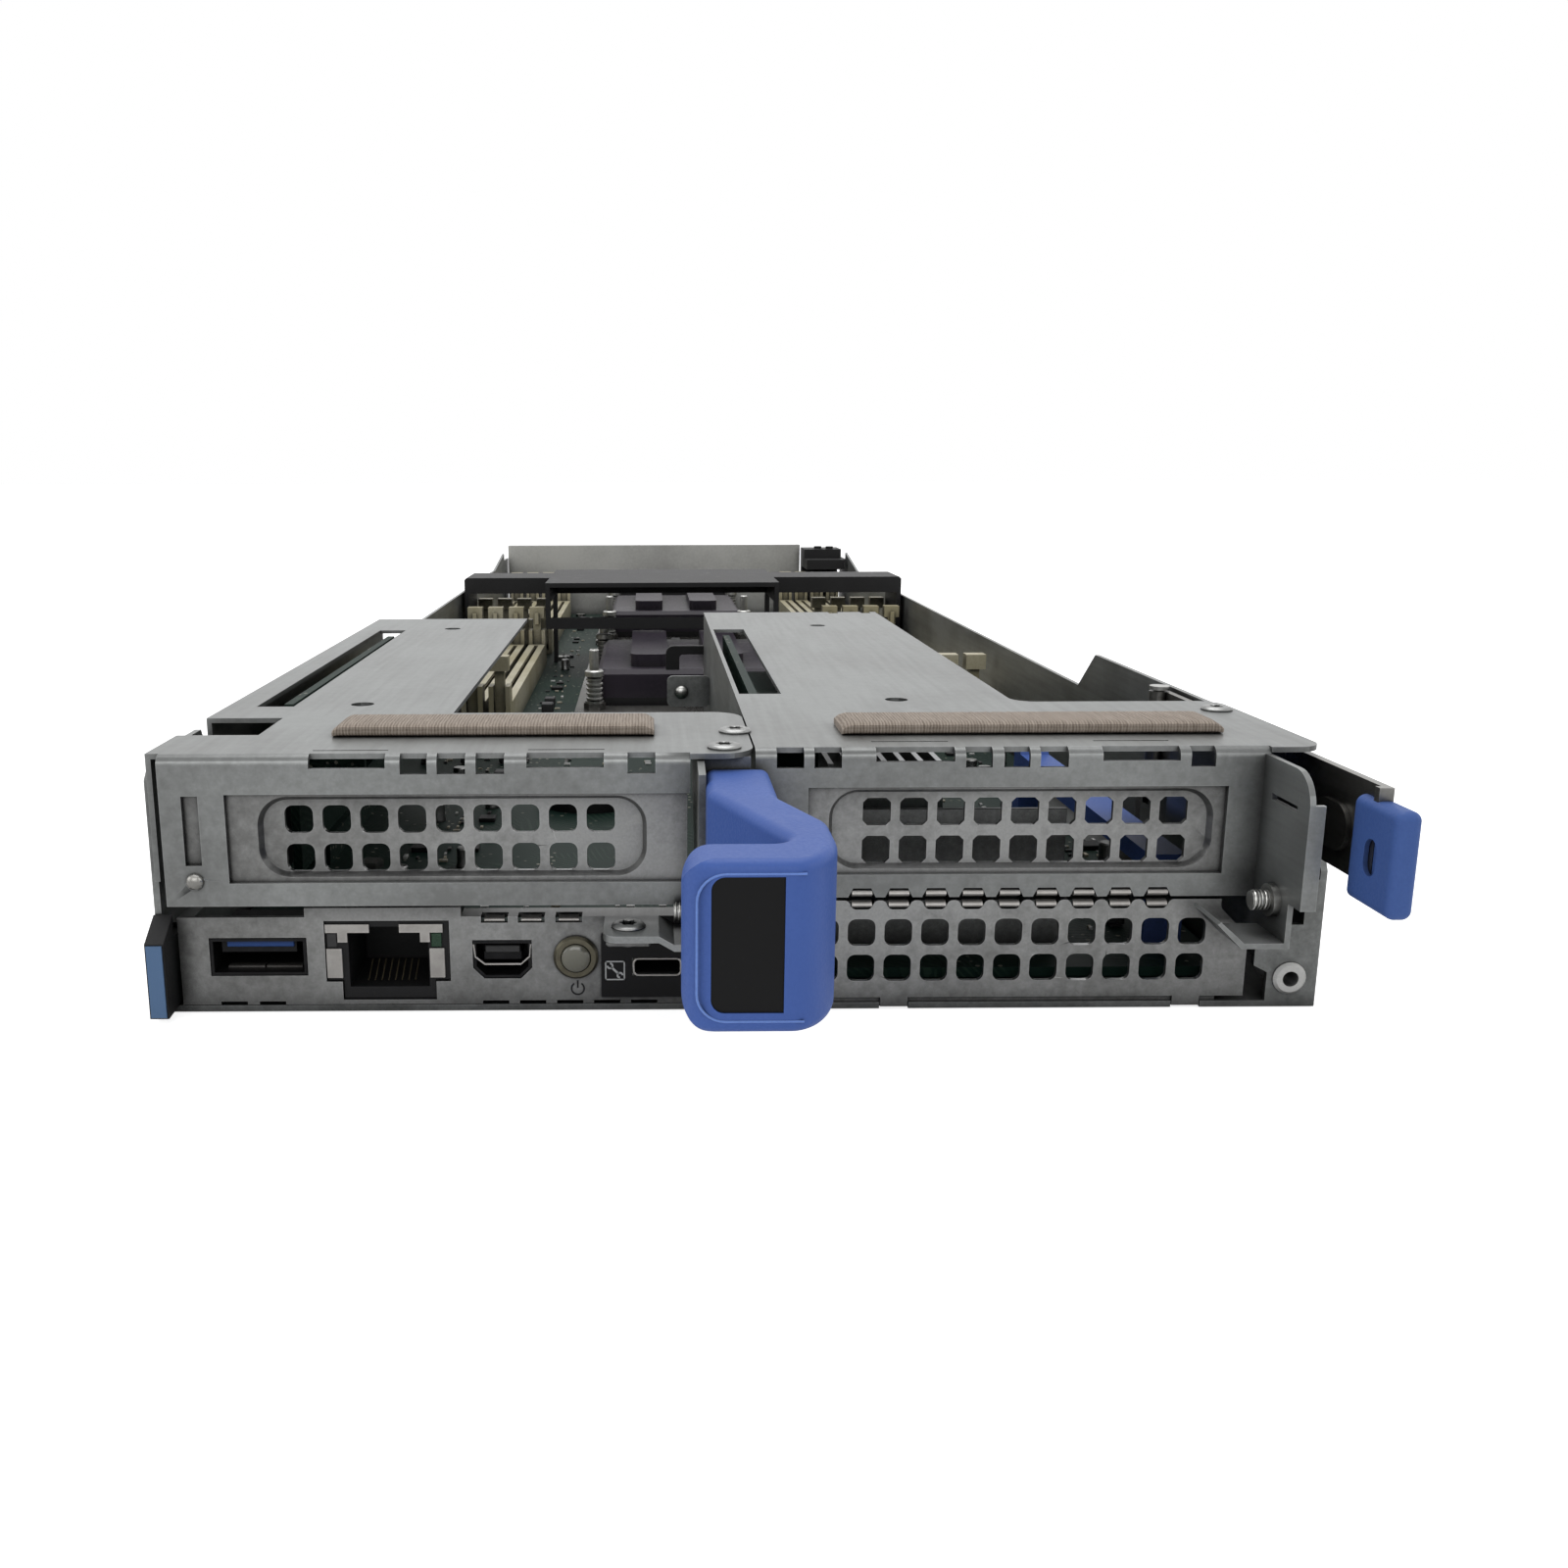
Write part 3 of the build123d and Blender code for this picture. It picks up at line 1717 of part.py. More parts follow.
with BuildPart() as pull_handle:
    with BuildSketch(floor_face.offset(handle_bottom)) as handle_outline:
        with BuildLine():
            Polyline(
                (handle_bend_end, -handle_reach),
                (handle_plate_end, -handle_reach),
                (handle_plate_end, -plate_back),
                (handle_gap_corner_x, -plate_back),
                (handle_root_start, -handle_inner_start),
                (handle_root_start, -handle_root_reach),
                (handle_root_end, -handle_root_reach),
                (handle_root_end, -handle_arm_start),
                (handle_bend_x, -handle_arm_end),
                (handle_bend_x, -handle_bend_reach),
            )
            EllipticalCenterArc(
                (handle_bend_end, -handle_bend_reach),
                handle_bend_x - handle_bend_end,
                handle_reach - handle_bend_reach,
                start_angle=-90,
                arc_size=90,
            )
        make_face()
        for arm_corner in ((handle_root_end, -handle_arm_start, 0), (handle_bend_x, -handle_arm_end, 0)):
            fillet(handle_outline.vertices().sort_by_distance(arm_corner)[0], handle_arm_radius)
        fillet(
            handle_outline.vertices().group_by(Axis.X)[0],
            handle_end_radius,
        )
        fillet(
            handle_outline.vertices().sort_by_distance((handle_gap_corner_x, -plate_back, 0))[0],
            handle_inner_radius,
        )
    extrude(amount=handle_height)
    fillet(
        pull_handle.faces().sort_by(Axis.Z)[-1].edges().sort_by(Axis.Y)[:-1]
        + pull_handle.faces().sort_by(Axis.Z)[0].edges().sort_by(Axis.Y)[:-1],
        handle_edge_radius,
    )
    with BuildSketch(front_face) as handle_front:
        with Locations(handle_middle):
            RectangleRounded(handle_span, handle_height, handle_corner_radius)
    extrude(to_extrude=handle_front.sketch, amount=handle_reach, mode=Mode.INTERSECT)
    with BuildSketch(front_face.offset(handle_reach - label_recess)) as recess:
        with Locations((label_x, label_z)):
            Rectangle(label_width + fit_gap * 2, label_height + fit_gap * 2)
        fillet(recess.vertices().group_by(Axis.X)[0], label_corner_radius)
    extrude(amount=label_recess + overrun, mode=Mode.SUBTRACT)
    slab(
        floor_face.offset(handle_top - bracket_sheet * 2 - fit_gap),
        handle_root_start - overrun,
        tongue_end + fit_gap,
        -tongue_reach - fit_gap,
        overrun,
        bracket_sheet + fit_gap * 2,
        mode=Mode.SUBTRACT,
    )
write(pull_handle, "pull_handle")

with BuildPart() as handle_label:
    with BuildSketch(front_face.offset(handle_reach - label_recess)) as label_outline:
        with Locations((label_x, label_z)):
            Rectangle(label_width, label_height)
        fillet(label_outline.vertices().group_by(Axis.X)[0], label_corner_radius)
    extrude(amount=label_thickness)
write(handle_label, "handle_label")

# Latch arm: a long plate on a pin, with an end flange and a tooth through the tray wall
arm_outer = latch_x + latch_sheet
latch_cap_start = latch_x - latch_cap_side

with BuildPart() as latch_arm:
    slab(
        side_face.offset(latch_x),
        -latch_reach,
        latch_pivot_y,
        latch_bottom,
        latch_top,
        latch_sheet,
    )
    slab(
        front_face.offset(latch_reach - latch_sheet),
        arm_outer - latch_flange_width,
        arm_outer,
        latch_bottom,
        latch_top,
        latch_sheet,
    )
    slab(
        side_face.offset(latch_x),
        latch_tooth_front,
        latch_tooth_front + latch_tooth_depth,
        latch_tooth_bottom,
        latch_bottom,
        latch_sheet,
    )
    shape(
        floor_face.offset(latch_tooth_bottom),
        (
            (latch_x, latch_tooth_front),
            (arm_outer, latch_tooth_front),
            (tray_width + latch_tooth_reach, latch_tooth_front + latch_tooth_depth / 2),
            (tray_width + latch_tooth_reach, latch_tooth_front + latch_tooth_depth),
            (latch_x, latch_tooth_front + latch_tooth_depth),
        ),
        latch_sheet * 2,
    )
    post(
        floor_face.offset(latch_bottom),
        ((latch_pivot_x, latch_pivot_y),),
        latch_knuckle_radius,
        latch_top - latch_bottom,
    )
    with BuildSketch(side_face.offset(latch_x - latch_boss_height)) as boss:
        with Locations((-latch_boss_y, latch_boss_z)):
            SlotOverall(latch_boss_length, latch_boss_width)
    extrude(to_extrude=boss.sketch, amount=latch_boss_height)
    post(
        floor_face.offset(latch_bottom - overrun),
        ((latch_pivot_x, latch_pivot_y),),
        latch_pivot_radius + fit_gap,
        latch_top - latch_bottom + overrun * 2,
        mode=Mode.SUBTRACT,
    )
write(latch_arm, "latch_arm")

# Blue cap pushed over the end of the arm
with BuildPart() as latch_cap:
    slab(
        floor_face.offset(latch_cap_bottom),
        latch_cap_start,
        latch_cap_start + latch_cap_width,
        -latch_cap_reach,
        -latch_cap_back,
        latch_cap_top - latch_cap_bottom,
    )
    fillet(
        latch_cap.edges().filter_by(Axis.Z).group_by(Axis.Y)[0]
        + latch_cap.edges().filter_by(Axis.Y)
        + latch_cap.edges().filter_by(Axis.X).group_by(Axis.Y)[0],
        latch_cap_radius,
    )
    slab(
        floor_face.offset(latch_bottom - fit_gap),
        latch_x - fit_gap,
        arm_outer + fit_gap,
        -latch_reach - fit_gap,
        -latch_cap_back + overrun,
        latch_top,
        mode=Mode.SUBTRACT,
    )
    slab(
        floor_face.offset(latch_bottom - fit_gap),
        arm_outer - latch_flange_width - fit_gap,
        arm_outer + fit_gap,
        -latch_reach - fit_gap,
        -latch_reach + latch_sheet + fit_gap,
        latch_top,
        mode=Mode.SUBTRACT,
    )
    with BuildSketch(side_face.offset(latch_cap_start - overrun)) as window:
        with Locations((-latch_cap_window_y, latch_cap_window_z)):
            SlotOverall(latch_cap_window_height, latch_cap_window_width, rotation=90)
    extrude(to_extrude=window.sketch, amount=overrun + latch_cap_window_depth, mode=Mode.SUBTRACT)
write(latch_cap, "latch_cap")

# Bracket, pin and return spring of the latch
ear_low = latch_bottom - running_gap - latch_ear_thickness
ear_high = latch_top + running_gap
bracket_x = latch_pivot_x - latch_bracket_width + latch_knuckle_radius

with BuildPart() as latch_bracket:
    slab(
        side_face.offset(bracket_x),
        latch_pivot_y - latch_bracket_depth / 2,
        latch_pivot_y + latch_bracket_depth / 2,
        tray_sheet,
        latch_bottom - running_gap,
        latch_bracket_sheet,
    )
    slab(
        floor_face.offset(tray_sheet),
        bracket_x,
        right_wall_x,
        latch_pivot_y - latch_bracket_depth / 2,
        latch_pivot_y + latch_bracket_depth / 2,
        latch_bracket_sheet,
    )
    slab(
        floor_face.offset(ear_low),
        bracket_x,
        right_wall_x,
        latch_pivot_y - latch_bracket_depth / 2,
        latch_pivot_y + latch_bracket_depth / 2,
        latch_ear_thickness,
    )
    post(
        floor_face.offset(ear_low - overrun),
        ((latch_pivot_x, latch_pivot_y),),
        latch_pivot_radius + fit_gap,
        latch_ear_thickness + overrun * 2,
        mode=Mode.SUBTRACT,
    )
write(latch_bracket, "latch_bracket")

pin_low = ear_low - spring_length - running_gap

with BuildPart() as latch_pin:
    post(
        floor_face.offset(pin_low),
        ((latch_pivot_x, latch_pivot_y),),
        latch_pivot_radius,
        latch_top - pin_low + running_gap,
    )
    post(
        floor_face.offset(latch_top + running_gap),
        ((latch_pivot_x, latch_pivot_y),),
        latch_knuckle_radius,
        cover_screw_head_height,
    )
write(latch_pin, "latch_pin")

with BuildPart() as latch_spring:
    post(
        floor_face.offset(ear_low - spring_length),
        ((latch_pivot_x, latch_pivot_y),),
        latch_pivot_radius + spring_wire,
        spring_length,
    )
    post(
        floor_face.offset(ear_low - spring_length - overrun),
        ((latch_pivot_x, latch_pivot_y),),
        latch_pivot_radius + fit_gap,
        spring_length + overrun * 2,
        mode=Mode.SUBTRACT,
    )
    slab(
        floor_face.offset(ear_low - spring_wire),
        latch_pivot_x + latch_pivot_radius + fit_gap,
        latch_pivot_x + latch_pivot_radius + spring_wire,
        latch_pivot_y,
        latch_pivot_y + spring_leg,
        spring_wire,
    )
write(latch_spring, "latch_spring")

# Pull-out tag: a blade beside the left wall with a head in front, its bare label and its guide
with BuildPart() as tag_body:
    slab(
        side_face.offset(tag_start),
        -running_gap,
        tag_blade_length,
        tag_bottom,
        tag_bottom + tag_height,
        tag_thickness,
    )
    shape(
        side_face.offset(tag_head_start),
        (
            (-tag_head_reach, tag_head_bottom),
            (-tag_head_reach, tag_head_top),
            (-running_gap, tag_head_top + tag_head_rise),
            (-running_gap, tag_head_bottom + running_gap),
        ),
        tag_head_width,
    )
write(tag_body, "tag_body")

with BuildPart() as tag_label:
    slab(
        front_face.offset(tag_head_reach),
        tag_head_start + tag_label_margin,
        tag_head_start + tag_head_width - tag_label_margin,
        tag_head_bottom + tag_label_margin,
        tag_head_top - tag_label_margin,
        tag_label_thickness,
    )
write(tag_label, "tag_label")

guide_x = tag_start + tag_thickness + running_gap

with BuildPart() as tag_guide:
    slab(
        side_face.offset(guide_x),
        panel_lip_depth + running_gap,
        tag_guide_length,
        tray_sheet,
        tag_bottom + tag_height + running_gap + tag_guide_wall,
        tag_guide_wall,
    )
    slab(
        floor_face.offset(tag_bottom + tag_height + running_gap),
        tray_sheet,
        guide_x,
        panel_lip_depth + running_gap,
        tag_guide_length,
        tag_guide_wall,
    )
write(tag_guide, "tag_guide")

# Board with a narrow front beside the latch and a cut-out under the network port
with BuildPart() as motherboard:
    with BuildSketch(floor_face.offset(board_bottom)) as board_outline:
        with BuildLine():
            Polyline(
                (board_start, board_front),
                (network_start - port_gap, board_front),
                (network_start - port_gap, network_depth + running_gap),
                (network_end + port_gap, network_depth + running_gap),
                (network_end + port_gap, board_front),
                (board_step_end, board_front),
                (board_step_end, board_step_rear),
                (board_end, board_step_rear + board_cut_depth),
                (board_end, board_rear),
                (board_start, board_rear),
                close=True,
            )
        make_face()
        with Locations(*standoff_places):
            Circle(standoff_hole + fit_gap, mode=Mode.SUBTRACT)
    extrude(amount=board_thickness)
write(motherboard, "motherboard")

with BuildPart() as standoffs:
    with BuildSketch(floor_face.offset(tray_sheet)):
        with Locations(*standoff_places):
            RegularPolygon(standoff_radius, 6)
    extrude(amount=board_bottom - tray_sheet)
    with BuildSketch(floor_face):
        with Locations(*standoff_places):
            RegularPolygon(standoff_shank, 6)
    extrude(amount=tray_sheet)
write(standoffs, "standoffs")

with BuildPart() as board_screws:
    with BuildSketch(floor_face.offset(board_top)):
        with Locations(*standoff_places):
            RegularPolygon(board_screw_head, 6)
    extrude(amount=board_screw_height)
    post(floor_face.offset(board_bottom), standoff_places, standoff_hole, board_thickness)
write(board_screws, "board_screws")


socket_middles = ((socket_x, front_socket_y), (socket_x, rear_socket_y))

# Processor sockets: two open frames
with BuildPart() as processor_sockets:
    with BuildSketch(floor_face.offset(board_top)):
        with Locations(*socket_middles):
            Rectangle(socket_width, socket_length)
    extrude(amount=socket_height)
    with BuildSketch(floor_face.offset(board_top + socket_height * half)):
        with Locations(*socket_middles):
            Rectangle(socket_width - socket_wall * 2, socket_length - socket_wall * 2)
    extrude(amount=socket_height, mode=Mode.SUBTRACT)
write(processor_sockets, "processor_sockets")

# Bolster plates with studs round the sockets
with BuildPart() as bolsters:
    with BuildSketch(floor_face.offset(board_top)):
        with Locations(*socket_middles):
            Rectangle(bolster_width, bolster_length)
            Rectangle(bolster_width - bolster_rail * 2, socket_length + bolster_rail, mode=Mode.SUBTRACT)
    extrude(amount=bolster_sheet)
    with BuildSketch(floor_face.offset(board_top)):
        with Locations(*socket_middles):
            with GridLocations(bolster_stud_x, bolster_stud_y, 2, 2):
                RegularPolygon(bolster_boss_radius, 6)
    extrude(amount=bolster_boss_height)
    with BuildSketch(floor_face.offset(board_top)):
        with Locations(*socket_middles):
            with GridLocations(bolster_stud_x, bolster_stud_y, 2, 2):
                Circle(bolster_stud_radius)
    extrude(amount=bolster_stud_height)
write(bolsters, "bolsters")

# Covers in the sockets, with chamfered rims and two raised pads
with BuildPart() as socket_covers:
    with BuildSketch(floor_face.offset(board_top + socket_height)):
        with Locations(*socket_middles):
            RectangleRounded(socket_width, socket_length, socket_cover_corner)
    extrude(amount=socket_cover_height)
    chamfer(socket_covers.edges().group_by(Axis.Z)[-1], socket_cover_wall)
    with BuildSketch(floor_face.offset(board_top + socket_height + socket_cover_height)):
        with Locations(*socket_middles):
            with GridLocations(socket_cover_rib_width * 2, 0, 2, 1):
                RectangleRounded(
                    socket_cover_rib_width,
                    socket_length - socket_cover_rib_width,
                    socket_cover_corner,
                )
    extrude(amount=socket_cover_rib)
    with BuildSketch(floor_face.offset(board_top + socket_height)):
        with Locations(*socket_middles):
            Rectangle(socket_width - socket_wall, socket_length - socket_wall)
    extrude(amount=socket_cover_height - socket_cover_wall, mode=Mode.SUBTRACT)
write(socket_covers, "socket_covers")


tower_start = dimm_length / 2
pivot_y_offset = tower_start + tower_length / 2
pivot_z = board_top + latch_lever_pivot


def bank_places(bank_x):
    """Gives the places of a bank's sockets across the sled."""
    first = bank_x - (dimm_count - 1) * dimm_pitch / 2
    return [first + index * dimm_pitch for index in range(dimm_count)]


def make_memory_sockets(place, bank_y):
    """Builds the two banks of memory sockets of one row, with end towers slotted for the latches."""
    bank_middles = ((left_bank_x, bank_y), (right_bank_x, bank_y))
    with BuildPart() as sockets:
        with BuildSketch(floor_face.offset(board_top)):
            with Locations(*bank_middles):
                with GridLocations(dimm_pitch, 0, dimm_count, 1):
                    Rectangle(dimm_width, dimm_length)
        extrude(amount=dimm_height)
        with BuildSketch(floor_face.offset(board_top + dimm_height - dimm_slot_depth)):
            with Locations(*bank_middles):
                with GridLocations(dimm_pitch, 0, dimm_count, 1):
                    Rectangle(dimm_slot_width, dimm_length - tower_length)
        extrude(amount=dimm_slot_depth, mode=Mode.SUBTRACT)
        with BuildSketch(floor_face.offset(board_top)):
            with Locations(*bank_middles):
                with GridLocations(dimm_pitch, dimm_length + tower_length, dimm_count, 2):
                    Rectangle(dimm_width, tower_length)
        extrude(amount=tower_height)
        with BuildSketch(floor_face.offset(board_top + tower_floor)):
            with Locations(*bank_middles):
                with GridLocations(dimm_pitch, dimm_length + tower_length + tower_wall, dimm_count, 2):
                    Rectangle(tower_slot_width, tower_length + tower_wall)
        extrude(amount=tower_height, mode=Mode.SUBTRACT)
        for side in (-1, 1):
            pivot_y = bank_y + side * pivot_y_offset
            slab(
                side_face,
                pivot_y - trunnion_radius - fit_gap,
                pivot_y + trunnion_radius + fit_gap,
                pivot_z - trunnion_radius - fit_gap,
                pivot_z + trunnion_radius + fit_gap,
                tray_width,
                mode=Mode.SUBTRACT,
            )
    write(sockets, f"{place}_memory_sockets")


def make_memory_latches(name, bank_x, bank_y, side):
    """Builds the ejector latches at one end of a bank: a lever in the tower with a hooked head."""
    pivot_y = bank_y + side * pivot_y_offset
    blade_width = tower_slot_width - running_gap * 2
    blade_inner = pivot_y - side * latch_lever_length / 2
    blade_outer = pivot_y + side * latch_lever_length / 2
    head_outer = blade_outer + side * latch_head_reach
    head_inner = blade_inner - side * latch_head_reach
    lever_top = board_top + latch_lever_height
    head_low = lever_top - latch_hook_height
    with BuildPart() as levers:
        for socket_place in bank_places(bank_x):
            shape(
                side_face.offset(socket_place - blade_width / 2),
                (
                    (blade_inner, pivot_z),
                    (blade_outer, pivot_z),
                    (blade_outer, head_low),
                    (head_outer, lever_top),
                    (blade_inner, lever_top),
                    (blade_inner, head_low),
                ),
                blade_width,
            )
            post(
                side_face.offset(socket_place - blade_width / 2),
                ((pivot_y, pivot_z),),
                latch_lever_length / 2,
                blade_width,
            )
            post(
                side_face.offset(socket_place - dimm_width / 2 + fit_gap),
                ((pivot_y, pivot_z),),
                trunnion_radius,
                dimm_width - fit_gap * 2,
            )
            slab(
                side_face.offset(socket_place - dimm_width / 2 + running_gap),
                min(head_outer, blade_inner),
                max(head_outer, blade_inner),
                head_low,
                lever_top,
                dimm_width - running_gap * 2,
            )
            slab(
                side_face.offset(socket_place - dimm_slot_width / 2 + fit_gap),
                min(head_inner, blade_inner),
                max(head_inner, blade_inner),
                head_low - latch_hook_height / 2,
                lever_top - latch_hook_height / 2,
                dimm_slot_width - fit_gap * 2,
            )
    write(levers, name)


make_memory_sockets("front", front_bank_y)
make_memory_sockets("rear", rear_bank_y)
for row, row_y in (("front", front_bank_y), ("rear", rear_bank_y)):
    for bank, bank_middle in (("left", left_bank_x), ("right", right_bank_x)):
        for end, end_side in (("near", -1), ("far", 1)):
            make_memory_latches(f"{row}_{bank}_latches_{end}", bank_middle, row_y, end_side)


def make_riser_card(name, card_x):
    """Builds an upright riser card with its plug to the board and its card slot."""
    card_middle = (riser_front + riser_rear) / 2
    with BuildPart() as card:
        slab(side_face.offset(card_x), riser_front, riser_rear, riser_bottom, riser_top, riser_board)
        slab(
            floor_face.offset(board_top),
            card_x + riser_board / 2 - riser_plug_width / 2,
            card_x + riser_board / 2 + riser_plug_width / 2,
            card_middle - riser_plug_length / 2,
            card_middle + riser_plug_length / 2,
            riser_bottom - board_top + riser_plug_width / 2,
        )
        slab(
            side_face.offset(card_x + riser_board),
            card_middle - riser_slot_length / 2,
            card_middle + riser_slot_length / 2,
            riser_slot_z - riser_slot_height / 2,
            riser_slot_z + riser_slot_height / 2,
            riser_slot_depth,
        )
        slab(
            side_face.offset(card_x + riser_board + riser_slot_depth - riser_key_depth),
            card_middle - riser_slot_length / 2 + riser_key_width,
            card_middle + riser_slot_length / 2 - riser_key_width,
            riser_slot_z - riser_key_width / 2,
            riser_slot_z + riser_key_width / 2,
            riser_key_depth,
            mode=Mode.SUBTRACT,
        )
    write(card, name)


make_riser_card("left_riser_card", left_riser_x)
make_riser_card("right_riser_card", right_riser_x)

# Coin cell in its holder
with BuildPart() as cell_holder:
    post(floor_face.offset(board_top), ((cell_x, cell_y),), cell_radius + cell_holder_wall, cell_holder_height)
    post(
        floor_face.offset(board_top + cell_holder_height - cell_height),
        ((cell_x, cell_y),),
        cell_radius + fit_gap,
        cell_height + overrun,
        mode=Mode.SUBTRACT,
    )
write(cell_holder, "cell_holder")

with BuildPart() as coin_cell:
    post(floor_face.offset(board_top + cell_holder_height - cell_height), ((cell_x, cell_y),), cell_radius, cell_height)
write(coin_cell, "coin_cell")

# Finned heat sink on the chipset
with BuildPart() as chipset_heat_sink:
    with BuildSketch(floor_face.offset(board_top)):
        with Locations((sink_x, sink_y)):
            Rectangle(sink_size, sink_size)
    extrude(amount=sink_base)
    with BuildSketch(floor_face.offset(board_top + sink_base)):
        with Locations((sink_x, sink_y)):
            with GridLocations((sink_size - sink_fin) / (sink_fins - 1), 0, sink_fins, 1):
                Rectangle(sink_fin, sink_size)
    extrude(amount=sink_height - sink_base)
write(chipset_heat_sink, "chipset_heat_sink")

# Card retainer: a blue rail along the right card bay on two posts
with BuildPart() as card_retainer:
    slab(
        floor_face.offset(retainer_bottom),
        retainer_x,
        retainer_x + retainer_width,
        retainer_front,
        retainer_rear,
        retainer_thickness,
    )
    for post_y in (retainer_front, retainer_rear - retainer_post):
        slab(
            floor_face.offset(board_top),
            retainer_x,
            retainer_x + retainer_width,
            post_y,
            post_y + retainer_post,
            retainer_bottom - board_top,
        )
    shape(
        side_face.offset(retainer_x),
        (
            (retainer_rear - retainer_post, retainer_bottom + retainer_thickness),
            (retainer_rear, retainer_bottom + retainer_thickness),
            (retainer_rear, retainer_bottom + retainer_thickness + retainer_hook_height),
        ),
        retainer_width,
    )
write(card_retainer, "card_retainer")

# Air shroud: a bridge from wall to wall with a deeper centre, legs and a cross bar
shroud_left = tray_sheet + shroud_margin
shroud_right = right_wall_x - shroud_margin
centre_top = shroud_top + shroud_centre_rise

with BuildPart() as air_shroud:
    slab(
        floor_face.offset(shroud_top - shroud_wall),
        shroud_left,
        shroud_right,
        shroud_front,
        shroud_rear,
        shroud_wall,
    )
    for skirt_front in (shroud_front, shroud_rear - shroud_wall):
        slab(
            floor_face.offset(shroud_top - shroud_skirt),
            shroud_left,
            shroud_right,
            skirt_front,
            skirt_front + shroud_wall,
            shroud_skirt,
        )
    for end_x in (shroud_left, shroud_right - shroud_wall):
        slab(
            floor_face.offset(tray_sheet),
            end_x,
            end_x + shroud_wall,
            shroud_front,
            shroud_rear,
            shroud_top - tray_sheet,
        )
    slab(
        floor_face.offset(centre_top - shroud_wall),
        shroud_centre_start,
        shroud_centre_end,
        shroud_centre_front,
        shroud_rear,
        shroud_wall,
    )
    for leg_x in (shroud_centre_start, shroud_centre_end - shroud_wall):
        slab(
            floor_face.offset(shroud_top - shroud_skirt),
            leg_x,
            leg_x + shroud_wall,
            shroud_centre_front,
            shroud_rear,
            shroud_skirt,
        )
        slab(
            floor_face.offset(board_top),
            leg_x,
            leg_x + shroud_wall,
            shroud_front,
            shroud_front + shroud_leg_width,
            shroud_top - board_top,
        )
        slab(
            floor_face.offset(shroud_cross_top - shroud_cross_height),
            leg_x,
            leg_x + shroud_wall,
            shroud_centre_front,
            shroud_centre_front + shroud_leg_width,
            shroud_top - shroud_cross_top + shroud_cross_height,
        )
    slab(
        floor_face.offset(shroud_cross_top - shroud_cross_height),
        shroud_centre_start,
        shroud_centre_end,
        shroud_centre_front,
        shroud_centre_front + shroud_wall,
        shroud_cross_height,
    )
    chamfer(
        air_shroud.edges().filter_by(Axis.Y).group_by(Axis.Z)[-2],
        shroud_wall * half,
    )
write(air_shroud, "air_shroud")

# Fasteners in the covers
with BuildPart() as cover_screws:
    screw_places = (*cover_screw_places, right_cover_screw)
    post(floor_face.offset(cover_top), screw_places, cover_screw_head, cover_screw_head_height)
    post(floor_face.offset(cover_top - cover_screw_length), screw_places, cover_screw_shank, cover_screw_length)
write(cover_screws, "cover_screws")

with BuildPart() as frame_screws:
    post(
        side_face.offset(fin_x - frame_screw_length),
        ((-right_screw_y, right_screw_z),),
        frame_screw_radius,
        frame_screw_length + fin_sheet,
    )
    post(
        side_face.offset(fin_x - frame_nut_height),
        ((-right_screw_y, right_screw_z),),
        frame_nut_radius,
        frame_nut_height,
    )
    post(
        side_face.offset(fin_x + fin_sheet),
        ((-right_screw_y, right_screw_z),),
        frame_screw_head,
        frame_screw_head_height,
    )
    post(
        side_face.offset(web_start - frame_screw_length),
        ((-left_screw_y, left_screw_z),),
        frame_screw_radius,
        frame_screw_length,
    )
write(frame_screws, "frame_screws")
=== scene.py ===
"""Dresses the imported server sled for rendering: procedural finishes, small added pieces, light and camera."""

import json
import logging
import math
import random
from dataclasses import dataclass, field
from enum import Enum
from functools import cached_property, partial
from typing import Sequence

import bmesh
import bpy
from mathutils import Matrix, Vector

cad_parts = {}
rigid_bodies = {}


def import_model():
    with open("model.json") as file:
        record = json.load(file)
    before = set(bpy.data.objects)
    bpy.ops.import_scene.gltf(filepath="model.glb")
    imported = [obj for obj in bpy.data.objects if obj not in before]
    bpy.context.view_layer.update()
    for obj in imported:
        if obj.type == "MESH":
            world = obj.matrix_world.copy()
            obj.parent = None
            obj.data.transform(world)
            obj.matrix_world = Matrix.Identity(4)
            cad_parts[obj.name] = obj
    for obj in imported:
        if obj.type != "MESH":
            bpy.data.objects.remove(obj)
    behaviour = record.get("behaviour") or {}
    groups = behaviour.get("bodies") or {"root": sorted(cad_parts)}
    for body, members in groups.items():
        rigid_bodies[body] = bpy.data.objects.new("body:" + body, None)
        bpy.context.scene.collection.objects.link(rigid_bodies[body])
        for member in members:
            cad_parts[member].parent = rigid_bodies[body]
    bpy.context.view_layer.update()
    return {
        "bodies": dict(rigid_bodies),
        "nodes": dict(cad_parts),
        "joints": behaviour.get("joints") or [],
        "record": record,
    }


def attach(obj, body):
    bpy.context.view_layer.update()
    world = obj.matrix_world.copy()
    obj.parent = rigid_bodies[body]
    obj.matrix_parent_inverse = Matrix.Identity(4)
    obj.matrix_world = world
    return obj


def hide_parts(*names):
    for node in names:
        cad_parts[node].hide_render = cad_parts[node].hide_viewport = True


log = logging.getLogger("sled")
MM = 0.001
# Edges sharper than this stay sharp in a smooth mesh.
CREASE = math.radians(32.0)
SENSOR = 36.0
